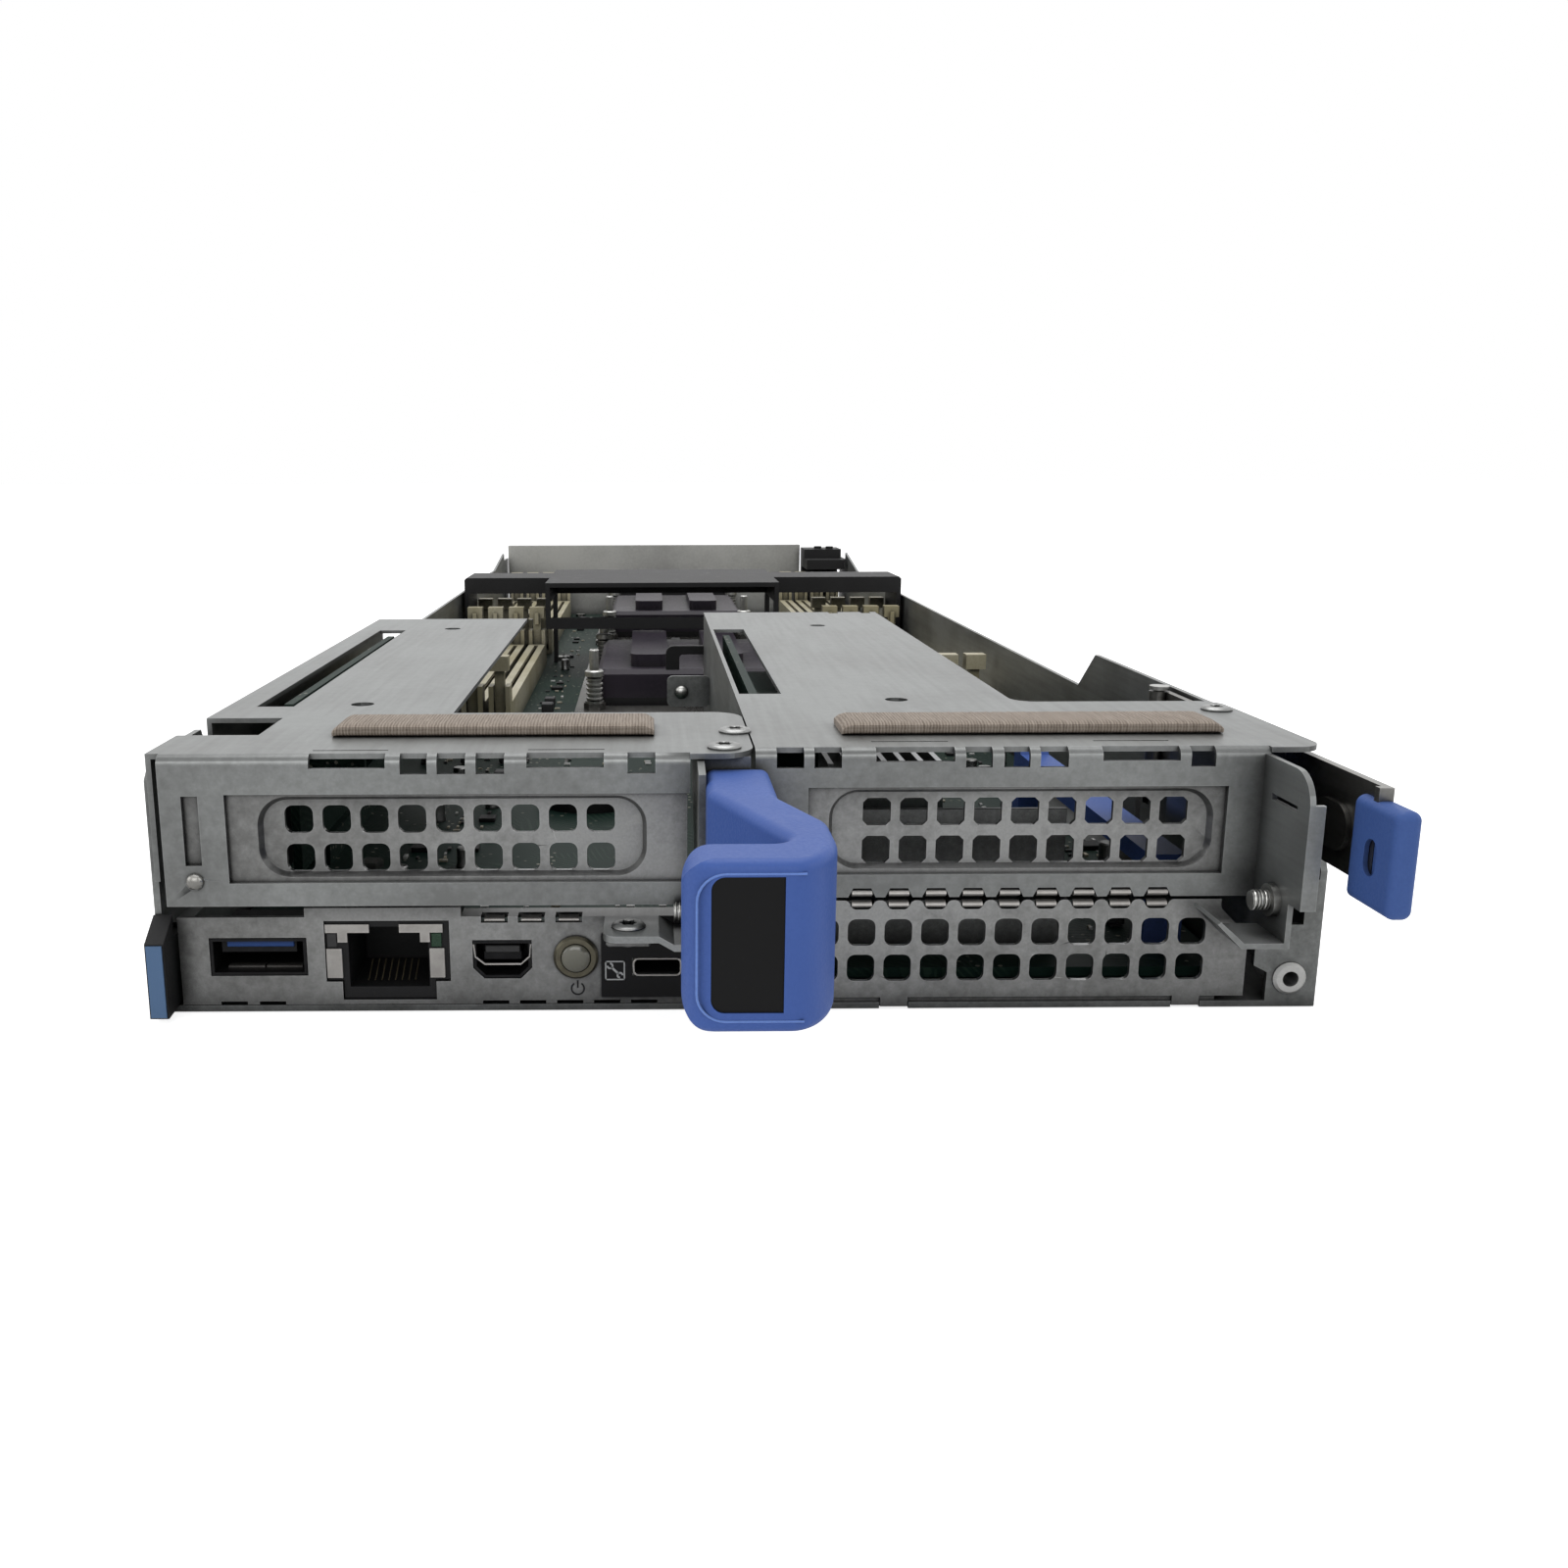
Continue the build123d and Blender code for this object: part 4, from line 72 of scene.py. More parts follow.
# How far the shaders look for seams and hollows, which get painted shade, and for edges, which get a painted
# highlight, and the height of the covers' undersides, below which faces that point up get a painted highlight,
# in metres.
SEAM_REACH = 0.0042
DEPTH_REACH = 0.032
EDGE_REACH = 0.00035
UNDER_COVER = 0.0388
# Painted colours: the painted shade in seams and hollows, the painted highlight on faces that point up, and the
# painted shade on sloped pressings.
PAINTED_SHADE = (0.006, 0.006, 0.006, 1.0)
UPFACING_GLINT = (0.78, 0.79, 0.79, 1.0)
SLOPE_SHADE = (0.045, 0.045, 0.045, 1.0)
SOLDER = (0.30, 0.29, 0.24, 1.0)
TIN = (0.55, 0.55, 0.54, 1.0)
PAPER = (0.86, 0.86, 0.86, 1.0)
PURE_WHITE = (1.0, 1.0, 1.0, 1.0)
ORIGIN = (0.0, 0.0, 0.0)
LOBES = 6
TRAY_WIDTH = 174.4
TRAY_LENGTH = 526.0
Point = tuple[float, float, float]
Pair = tuple[float, float]
Profile = Sequence[tuple[float, ...]]
Socket = bpy.types.NodeSocket
Sockets = dict[str, Socket]
Surface = tuple[Socket, Socket, Socket]


def at(x: float, y: float, z: float) -> Vector:
    """Turns a place inside the sled into scene coordinates.

    Args:
        x: distance from the left wall, in millimetres.
        y: distance behind the front plane, in millimetres.
        z: height over the underside, in millimetres.

    Returns:
        The same place in metres, in the frame's own axes.
    """
    return Vector(((x - TRAY_WIDTH / 2) * MM, (y - TRAY_LENGTH / 2) * MM, z * MM))


class Body(str, Enum):
    """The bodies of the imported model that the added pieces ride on."""

    SLED = "sled"
    BUTTON = "button"


class Kind(Enum):
    """Families of finishes, each with its own shader recipe."""

    SHEET = "sheet"
    MOULDED = "moulded"
    FABRIC = "fabric"
    BOARD = "board"
    PLATED = "plated"
    PRINTED = "printed"
    PARTS = "parts"


@dataclass(frozen=True)
class Finish:
    """One named surface finish.

    Attributes:
        name: the material's name.
        colour: main linear colour.
        second: colour of the wear, grain or weave.
        roughness: middle roughness.
        scale: grain size as a noise scale per metre.
        bump: bump height in metres.
        kind: the shader recipe that it uses.
        metallic: share of metal.
        coat: clear coat weight.
        seed: noise offset.
        specular: strength of the shader's reflection, one half for common plastics.
        cut: share of the painted highlight on faces that point up below the covers, such as the sheet's edges,
            and of the painted shade on sloped pressings.
        edge_glint: share of the painted highlight that brightens convex edges.
        seam_shade: share of the painted shade that darkens seams, corners and hollows.
    """

    name: str
    colour: Point
    second: Point
    roughness: float
    scale: float
    bump: float = 0.00001
    kind: Kind = Kind.SHEET
    metallic: float = 0.0
    coat: float = 0.0
    seed: float = 0.0
    specular: float = 0.5
    # These three shares set painted highlights and painted shade.
    cut: float = 0.0
    edge_glint: float = 0.35
    seam_shade: float = 0.75


sheet = partial(Finish, kind=Kind.SHEET, metallic=0.8)
moulded = partial(Finish, kind=Kind.MOULDED)
printed = partial(Finish, kind=Kind.PRINTED)
plated = partial(Finish, kind=Kind.PLATED)

GALVANISED = sheet("galvanised sheet", (0.298, 0.308, 0.305), (0.150, 0.155, 0.151), 0.35, 420.0)
COVER = sheet("cover sheet", (0.278, 0.288, 0.285), (0.182, 0.187, 0.184), 0.36, 460.0, seed=9.0, cut=0.8)
PANEL = sheet(
    "panel sheet", (0.330, 0.333, 0.329), (0.170, 0.171, 0.167), 0.33, 520.0, seed=3.0, cut=1.0, seam_shade=0.92
)
PORT_PANEL = sheet("port panel sheet", (0.310, 0.313, 0.309), (0.160, 0.161, 0.157), 0.33, 520.0, seed=6.0)
PALE_SHEET = sheet(
    "rear wall sheet", (0.43, 0.43, 0.41), (0.33, 0.33, 0.315), 0.42, 420.0, metallic=0.7, seed=1.0,
)
BARE_STEEL = sheet(
    "latch steel", (0.30, 0.295, 0.28), (0.17, 0.165, 0.15), 0.26, 700.0, 0.000006, metallic=0.95, seed=5.0
)
SCREW = plated(
    "zinc plated screws", (0.50, 0.50, 0.48), (0.26, 0.26, 0.25), 0.26, 1500.0, 0.000006, metallic=1.0,
)
BLUE = moulded(
    "blue moulding", (0.064, 0.134, 0.440), (0.055, 0.118, 0.398), 0.46, 2400.0, 0.00003,
    specular=0.28, edge_glint=0.16, seam_shade=0.45,
)
# A lighter copy of the blue moulding, whose extra lightness is a painted highlight on the raised bead.
HIGHLIGHT_BLUE = moulded(
    "blue moulding with painted highlight", (0.135, 0.235, 0.570), (0.110, 0.195, 0.510), 0.40, 2400.0, 0.00002,
    specular=0.3,
)
CAP_BLUE = moulded(
    "cap moulding", (0.064, 0.130, 0.375), (0.055, 0.112, 0.335), 0.50, 2400.0, 0.00003,
    specular=0.22, edge_glint=0.14, seam_shade=0.45,
)
TAG_BLUE = printed(
    "tag label", (0.105, 0.185, 0.330), (0.090, 0.160, 0.290), 0.55, 1800.0, 0.000006, specular=0.2,
)
BLACK = moulded(
    "black moulding", (0.0085, 0.0085, 0.009), (0.014, 0.014, 0.015), 0.48, 2400.0, 0.00002,
    specular=0.22, edge_glint=0.05,
)
PURPLE = moulded(
    "dark glossy moulding", (0.017, 0.014, 0.021), (0.028, 0.022, 0.032), 0.38, 900.0, 0.000006,
    specular=0.24, edge_glint=0.06,
)
CREAM = moulded(
    "cream moulding", (0.60, 0.565, 0.44), (0.40, 0.36, 0.23), 0.45, 1600.0, specular=0.3, edge_glint=0.1,
)
WHITE = moulded("white moulding", (0.74, 0.74, 0.72), (0.62, 0.62, 0.60), 0.42, 1600.0, edge_glint=0.0)
LABEL = printed(
    "bare black label", (0.0065, 0.0065, 0.007), (0.020, 0.020, 0.022), 0.42, 2000.0, 0.000006,
    specular=0.16,
)
FABRIC = Finish(
    "gasket cloth", (0.385, 0.330, 0.280), (0.165, 0.132, 0.106), 0.60, 13000.0, 0.00005,
    kind=Kind.FABRIC, metallic=0.25, specular=0.3,
)
BOARD = Finish(
    "circuit board", (0.005, 0.016, 0.012), (0.022, 0.044, 0.030), 0.52, 1200.0, 0.00003,
    kind=Kind.BOARD, specular=0.12,
)
ALUMINIUM = sheet("heat sink", (0.42, 0.43, 0.44), (0.30, 0.31, 0.32), 0.34, 900.0, metallic=1.0, seed=7.0)
BUTTON_GREY = moulded(
    "button lens", (0.195, 0.192, 0.152), (0.140, 0.137, 0.104), 0.12, 900.0, 0.000006, coat=0.6, edge_glint=0.0,
)
DARK_STEEL = plated(
    "dark steel", (0.012, 0.012, 0.013), (0.026, 0.026, 0.026), 0.40, 1400.0,
    metallic=0.5, specular=0.2, edge_glint=0.1,
)
DULL_SCREW = plated(
    "dull zinc screw", (0.34, 0.345, 0.34), (0.17, 0.17, 0.165), 0.28, 1500.0, 0.000006,
    metallic=1.0, seed=8.0, seam_shade=0.95,
)
RING = plated(
    "button ring", (0.135, 0.125, 0.090), (0.070, 0.064, 0.045), 0.26, 900.0, 0.000006,
    metallic=0.9, seed=4.0,
)
SATIN = plated(
    "satin shield", (0.42, 0.405, 0.385), (0.30, 0.285, 0.27), 0.34, 1300.0, 0.000006,
    metallic=0.75, seed=6.0,
)
PORT_BLUE = moulded(
    "blue tongue", (0.030, 0.085, 0.28), (0.024, 0.070, 0.24), 0.40, 1900.0, specular=0.2, edge_glint=0.0,
)
LIGHT_GREY = moulded(
    "grey light pipe", (0.045, 0.045, 0.045), (0.032, 0.032, 0.032), 0.35, 1500.0, 0.000008, specular=0.3,
)
LIGHT_GREEN = moulded(
    "green light pipe", (0.022, 0.058, 0.032), (0.016, 0.045, 0.024), 0.30, 1500.0, 0.000008, specular=0.3,
)
GOLD = plated(
    "gilded contacts", (0.42, 0.36, 0.24), (0.20, 0.17, 0.11), 0.32, 1500.0, 0.000004, metallic=0.9,
)
PARTS = Finish(
    "small board parts", (0.42, 0.38, 0.30), (0.018, 0.018, 0.018), 0.38, 210.0, 0.000006,
    kind=Kind.PARTS, metallic=0.1,
)
CHOKE = moulded(
    "grey chokes", (0.055, 0.055, 0.058), (0.035, 0.035, 0.038), 0.50, 1500.0, 0.00002, specular=0.3,
)
INK_PALE = printed("pale ink", (0.42, 0.43, 0.43), (0.34, 0.35, 0.35), 0.50, 2000.0, 0.000004, specular=0.2)
INK_DARK = printed(
    "dark ink", (0.008, 0.008, 0.009), (0.018, 0.018, 0.018), 0.50, 2000.0, 0.000004, specular=0.15,
)

NODE_FINISHES: dict[Finish, tuple[str, ...]] = {
    GALVANISED: ("tray", "latch_bracket", "tag_guide", "handle_bracket"),
    COVER: ("left_riser_cover", "right_riser_cover"),
    PALE_SHEET: ("rear_wall",),
    PANEL: ("left_slot_blank", "right_slot_blank", "mezzanine_blank"),
    PORT_PANEL: ("io_panel",),
    SCREW: (
        "cover_screws", "frame_screws", "bracket_screw", "board_screws",
        "standoffs", "latch_pin", "latch_spring",
    ),
    BARE_STEEL: ("latch_arm", "bolsters", "coin_cell"),
    BLUE: ("pull_handle", "card_retainer"),
    CAP_BLUE: ("latch_cap",),
    LABEL: ("service_label", "handle_label"),
    TAG_BLUE: ("tag_label",),
    FABRIC: ("left_gasket", "right_gasket"),
    DARK_STEEL: ("usb_port", "display_port", "service_port"),
    RING: ("button_bezel",),
    BLACK: (
        "network_port", "air_shroud", "signal_connector", "power_connector",
        "processor_sockets", "cell_holder", "button_switch", "tag_body",
    ),
    PURPLE: ("socket_covers",),
    CREAM: ("front_memory_sockets", "rear_memory_sockets") + tuple(
        f"{row}_{bank}_latches_{end}"
        for row in ("front", "rear")
        for bank in ("left", "right")
        for end in ("near", "far")
    ),
    BOARD: ("motherboard", "left_riser_card", "right_riser_card"),
    ALUMINIUM: ("chipset_heat_sink",),
    WHITE: ("guide_bushing",),
    BUTTON_GREY: ("power_button",),
}


@dataclass
class Nodes:
    """A small helper that adds nodes to a tree and joins them."""

    tree: bpy.types.NodeTree

    def add(self, kind: str, **values: object) -> bpy.types.Node:
        """Adds a node and sets its properties and named inputs.

        Args:
            kind: the node's type name.
            **values: properties of the node, or inputs written with the prefix in_.

        Returns:
            The new node.
        """
        node = self.tree.nodes.new(kind)
        sockets = {key[3:]: value for key, value in values.items() if key.startswith("in_")}
        for key, value in values.items():
            if not key.startswith("in_"):
                setattr(node, key, value)
        for key, value in sockets.items():
            self.feed(value, node.inputs[int(key) if key.isdigit() else key])
        return node

    def feed(self, value: object, socket: Socket) -> None:
        """Links a value to a socket, or sets the socket to a constant.

        Args:
            value: another socket or a constant.
            socket: the socket that takes it.
        """
        if isinstance(value, Socket):
            self.tree.links.new(value, socket)
        else:
            socket.default_value = value

    def math(self, operation: str, first: object, second: object = 0.0) -> Socket:
        """Adds a Math node and returns its result."""
        return self.add("ShaderNodeMath", operation=operation, in_0=first, in_1=second).outputs[0]

    def times(self, first: object, second: object) -> Socket:
        """Returns the product of two values."""
        return self.math("MULTIPLY", first, second)

    def plus(self, first: object, second: object, share: float = 1.0) -> Socket:
        """Returns the first value with a share of the second added."""
        return self.math("ADD", first, second if share == 1.0 else self.times(second, share))

    def minus(self, first: object, second: object) -> Socket:
        """Returns the difference of two values."""
        return self.math("SUBTRACT", first, second)

    def axes(self, vector: object) -> bpy.types.NodeOutputs:
        """Returns the three parts of a vector."""
        return self.add("ShaderNodeSeparateXYZ", in_0=vector).outputs

    def noise(self, vector: object, scale: float, detail: float = 3.0, rough: float = 0.55) -> Socket:
        """Adds a Noise Texture and returns its value."""
        settings = {"in_Scale": scale, "in_Detail": detail, "in_Roughness": rough}
        return self.add("ShaderNodeTexNoise", in_Vector=vector, **settings).outputs[0]

    def mix(self, factor: object, first: object, second: object) -> Socket:
        """Adds a colour Mix node and returns its result."""
        node = self.add("ShaderNodeMix", data_type="RGBA", in_0=factor, in_6=first, in_7=second)
        return node.outputs[2]

    def ramp(self, value: Socket, low: float, high: float) -> Socket:
        """Maps a range of values to zero to one."""
        limits = {"in_1": low, "in_2": high, "in_3": 0.0, "in_4": 1.0}
        return self.add("ShaderNodeMapRange", in_Value=value, **limits).outputs[0]


def start_tree(
    name: str, kind: str, entries: dict[str, str], exits: dict[str, str]
) -> tuple[Nodes, Sockets, bpy.types.Node]:
    """Starts a node tree with named inputs and outputs.

    Args:
        name: the tree's name.
        kind: the tree's type name.
        entries: the type of each input, without its common prefix.
        exits: the type of each output.

    Returns:
        The tree's helper, its inputs by name and its output node.
    """
    tree = bpy.data.node_groups.new(name, kind)
    for in_out, sockets in (("INPUT", entries), ("OUTPUT", exits)):
        for label, socket_type in sockets.items():
            tree.interface.new_socket(label, in_out=in_out, socket_type="NodeSocket" + socket_type)
    nodes = Nodes(tree)
    entry = nodes.add("NodeGroupInput")
    leave = nodes.add("NodeGroupOutput")
    return nodes, {socket.name: socket for socket in entry.outputs if socket.name}, leave


def rgba(colour: Sequence[float]) -> tuple[float, float, float, float]:
    """Adds full alpha to a colour."""
    return (colour[0], colour[1], colour[2], 1.0)


@dataclass
class Recipe(Nodes):
    """Draws the shader of one kind of finish, with one method for each kind."""

    inputs: Sockets

    def shade_and_glint(self, colour: Socket, gain: float) -> Socket:
        """Darkens a colour with painted shade in seams, hollows and under the covers, and brightens it with a
        painted highlight along convex edges.

        Args:
            colour: the colour before the painted shade and highlight.
            gain: how many times brighter the painted edge highlight is.

        Returns:
            The colour with painted shade and highlight.
        """
        # Painted shade: mixes towards a near black where seams, hollows and the space under the covers are
        # occluded.
        dark = self.mix(self.inputs["Unshaded"], PAINTED_SHADE, colour)
        # Painted highlight: convex edges are made brighter.
        bright = self.add("ShaderNodeVectorMath", operation="SCALE", in_0=dark, in_Scale=gain).outputs[0]
        return self.mix(self.inputs["Edge"], dark, bright)

    def stain(self, colour: Socket, value: Socket, low: float, high: float, share: float = 1.0) -> Socket:
        """Mixes the second colour in where a value is high.

        Args:
            colour: the colour so far.
            value: the value, such as a noise.
            low: where the second colour starts to show.
            high: where it is strongest.
            share: how strong it is there.

        Returns:
            The stained colour.
        """
        factor = self.ramp(value, low, high)
        if share != 1.0:
            factor = self.times(factor, share)
        return self.mix(factor, colour, self.inputs["Second"])

    def rougher(self, value: Socket, share: float) -> Socket:
        """Returns the finish's roughness with a share of a value added."""
        return self.plus(self.inputs["Base Roughness"], value, share)

    def sheet(self) -> Surface:
        """Rolled zinc coated sheet: soft cloudy spangle, fine rolling lines and handling marks, with a painted
        highlight on faces that point up below the covers, painted shade on sloped pressings, and painted seam
        shade and edge highlights.

        Returns:
            Colour, roughness and height.
        """
        place, scale = self.inputs["Place"], self.inputs["Scale"]
        stretched = self.add("ShaderNodeMapping", in_Vector=place, in_Scale=(14.0, 0.6, 14.0)).outputs[0]
        lines = self.noise(stretched, 60.0, 4.0, 0.6)
        cloud = self.noise(place, 26.0, 5.0, 0.6)
        spangle = self.add("ShaderNodeTexVoronoi", in_Vector=place, in_Scale=scale).outputs["Distance"]
        marks = self.noise(stretched, 300.0, 6.0, 0.7)
        shade = self.plus(self.times(cloud, 0.75), self.times(lines, 0.35))
        factor = self.ramp(shade, 0.42, 0.64)
        colour = self.mix(factor, self.inputs["Second"], self.inputs["Colour"])
        colour = self.stain(colour, marks, 0.60, 0.78, 0.4)
        flakes = self.noise(place, 2600.0, 2.0, 0.6)
        colour = self.stain(colour, flakes, 0.35, 0.65, 0.22)
        faces = self.axes(self.add("ShaderNodeNewGeometry").outputs["True Normal"])
        level = self.axes(self.inputs["Spot"])
        # Painted highlight: faces that point up below the covers are mixed towards a bright colour.
        upfacing_glint = self.times(self.math("GREATER_THAN", faces[2], 0.95), self.inputs["Glint And Slope Shade"])
        upfacing_glint = self.times(upfacing_glint, self.math("LESS_THAN", level[2], UNDER_COVER))
        colour = self.mix(self.times(upfacing_glint, 0.85), colour, UPFACING_GLINT)
        # Painted shade: faces that slope between front and side, as on the pressings, are darkened.
        tilt = self.math("ABSOLUTE", faces[1])
        pressed = self.times(self.math("GREATER_THAN", tilt, 0.25), self.math("LESS_THAN", tilt, 0.93))
        pressed = self.times(pressed, self.inputs["Glint And Slope Shade"])
        colour = self.mix(self.times(pressed, 0.5), colour, SLOPE_SHADE)
        # Painted shade in seams and hollows, and a painted highlight on convex edges.
        colour = self.shade_and_glint(colour, 2.4)
        rough = self.rougher(self.minus(cloud, 0.5), 0.28)
        rough = self.plus(rough, spangle, 0.04)
        height = self.plus(self.times(lines, 0.7), self.times(spangle, 0.6))
        return colour, rough, height

    def moulded(self) -> Surface:
        """Moulded plastic: fine spark texture, faint flow tone and rubbed patches.

        Returns:
            Colour, roughness and height.
        """
        place, scale = self.inputs["Place"], self.inputs["Scale"]
        grain = self.noise(place, scale, 2.0, 0.5)
        tone = self.noise(place, 55.0, 3.0, 0.5)
        rub = self.ramp(self.noise(place, 180.0, 4.0, 0.65), 0.58, 0.75)
        colour = self.stain(self.inputs["Colour"], tone, 0.35, 0.65)
        colour = self.stain(colour, grain, 0.40, 0.66, 0.55)
        # Painted shade in seams and hollows, and a painted highlight on convex edges.
        colour = self.shade_and_glint(colour, 1.9)
        rough = self.rougher(self.minus(grain, 0.5), 0.18)
        rough = self.minus(rough, self.times(rub, 0.10))
        return colour, rough, grain

    def fabric(self) -> Surface:
        """Plated cloth: uneven threads across the strip, crossed by fainter ones, with rubbed patches.

        Returns:
            Colour, roughness and height.
        """
        place = self.inputs["Place"]
        drift = self.times(self.minus(self.noise(place, 900.0, 2.0, 0.5), 0.5), 0.00035)
        axes = self.axes(place)
        run = self.plus(axes[0], drift)
        across = self.math("SINE", self.times(run, self.inputs["Scale"]))
        rows = self.plus(self.plus(axes[1], axes[2]), drift)
        along = self.math("SINE", self.times(rows, self.times(self.inputs["Scale"], 0.9)))
        weave = self.plus(self.times(across, 0.32), self.times(along, 0.14))
        stretched = self.add("ShaderNodeMapping", in_Vector=place, in_Scale=(9.0, 0.7, 0.7)).outputs[0]
        streak = self.noise(stretched, 330.0, 4.0, 0.65)
        tone = self.plus(self.plus(weave, 0.5), self.minus(streak, 0.5), 1.9)
        colour = self.mix(self.ramp(tone, 0.0, 1.0), self.inputs["Second"], self.inputs["Colour"])
        rough = self.rougher(streak, 0.15)
        return colour, rough, self.plus(weave, streak)

    def board(self) -> Surface:
        """Circuit board: green mask with runs of traces, round pads and cloudy glass weave.

        Returns:
            Colour, roughness and height.
        """
        place = self.inputs["Place"]
        cells = self.add("ShaderNodeTexVoronoi", distance="MANHATTAN", in_Vector=place, in_Scale=90.0)
        axes = self.axes(place)
        pick = self.add("ShaderNodeSeparateColor", in_0=cells.outputs["Color"])
        run = self.plus(self.times(axes[0], pick.outputs[0]), self.times(axes[1], pick.outputs[1]))
        run = self.plus(run, self.times(axes[2], pick.outputs[2]))
        stripes = self.ramp(self.math("SINE", self.times(run, 6500.0)), 0.2, 0.6)
        busy = self.ramp(self.noise(place, 60.0, 2.0, 0.5), 0.46, 0.56)
        traces = self.times(stripes, busy)
        pads = self.add("ShaderNodeTexVoronoi", in_Vector=place, in_Scale=420.0, in_Randomness=0.55)
        dots = self.math("LESS_THAN", pads.outputs["Distance"], 0.16)
        dots = self.times(dots, self.ramp(self.noise(place, 75.0, 2.0, 0.5), 0.52, 0.60))
        colour = self.mix(self.times(traces, 0.55), self.inputs["Colour"], self.inputs["Second"])
        colour = self.mix(self.times(dots, 0.8), colour, SOLDER)
        rough = self.rougher(dots, -0.08)
        return colour, rough, self.plus(traces, dots)

    def plated(self) -> Surface:
        """Plated metal: bright, with darker tarnish and fine scratches.

        Returns:
            Colour, roughness and height.
        """
        place = self.inputs["Place"]
        tarnish = self.noise(place, 500.0, 4.0, 0.6)
        scratch = self.noise(place, self.inputs["Scale"], 6.0, 0.7)
        colour = self.stain(self.inputs["Colour"], tarnish, 0.42, 0.70, 0.6)
        # Painted shade in seams and hollows, and a painted highlight on convex edges.
        colour = self.shade_and_glint(colour, 1.8)
        rough = self.rougher(scratch, 0.16)
        return colour, rough, scratch

    def parts(self) -> Surface:
        """Soldered parts: each patch of the board is tan, black or silver.

        Returns:
            Colour, roughness and height.
        """
        place, scale = self.inputs["Place"], self.inputs["Scale"]
        cells = self.add("ShaderNodeTexVoronoi", in_Vector=place, in_Scale=scale)
        pick = self.add("ShaderNodeSeparateColor", in_0=cells.outputs["Color"])
        dark = self.math("GREATER_THAN", pick.outputs[0], 0.55)
        bright = self.math("GREATER_THAN", pick.outputs[1], 0.72)
        colour = self.mix(dark, self.inputs["Colour"], self.inputs["Second"])
        colour = self.mix(bright, colour, TIN)
        grain = self.noise(place, 2200.0, 3.0, 0.6)
        rough = self.rougher(grain, 0.2)
        return colour, rough, grain

    def printed(self) -> Surface:
        """Printed film: even colour with dust and a faint orange peel.

        Returns:
            Colour, roughness and height.
        """
        place = self.inputs["Place"]
        dust = self.ramp(self.noise(place, 1400.0, 5.0, 0.7), 0.62, 0.78)
        peel = self.noise(place, self.inputs["Scale"], 2.0, 0.5)
        colour = self.mix(self.times(dust, 0.5), self.inputs["Colour"], self.inputs["Second"])
        rough = self.rougher(dust, 0.15)
        return colour, rough, peel


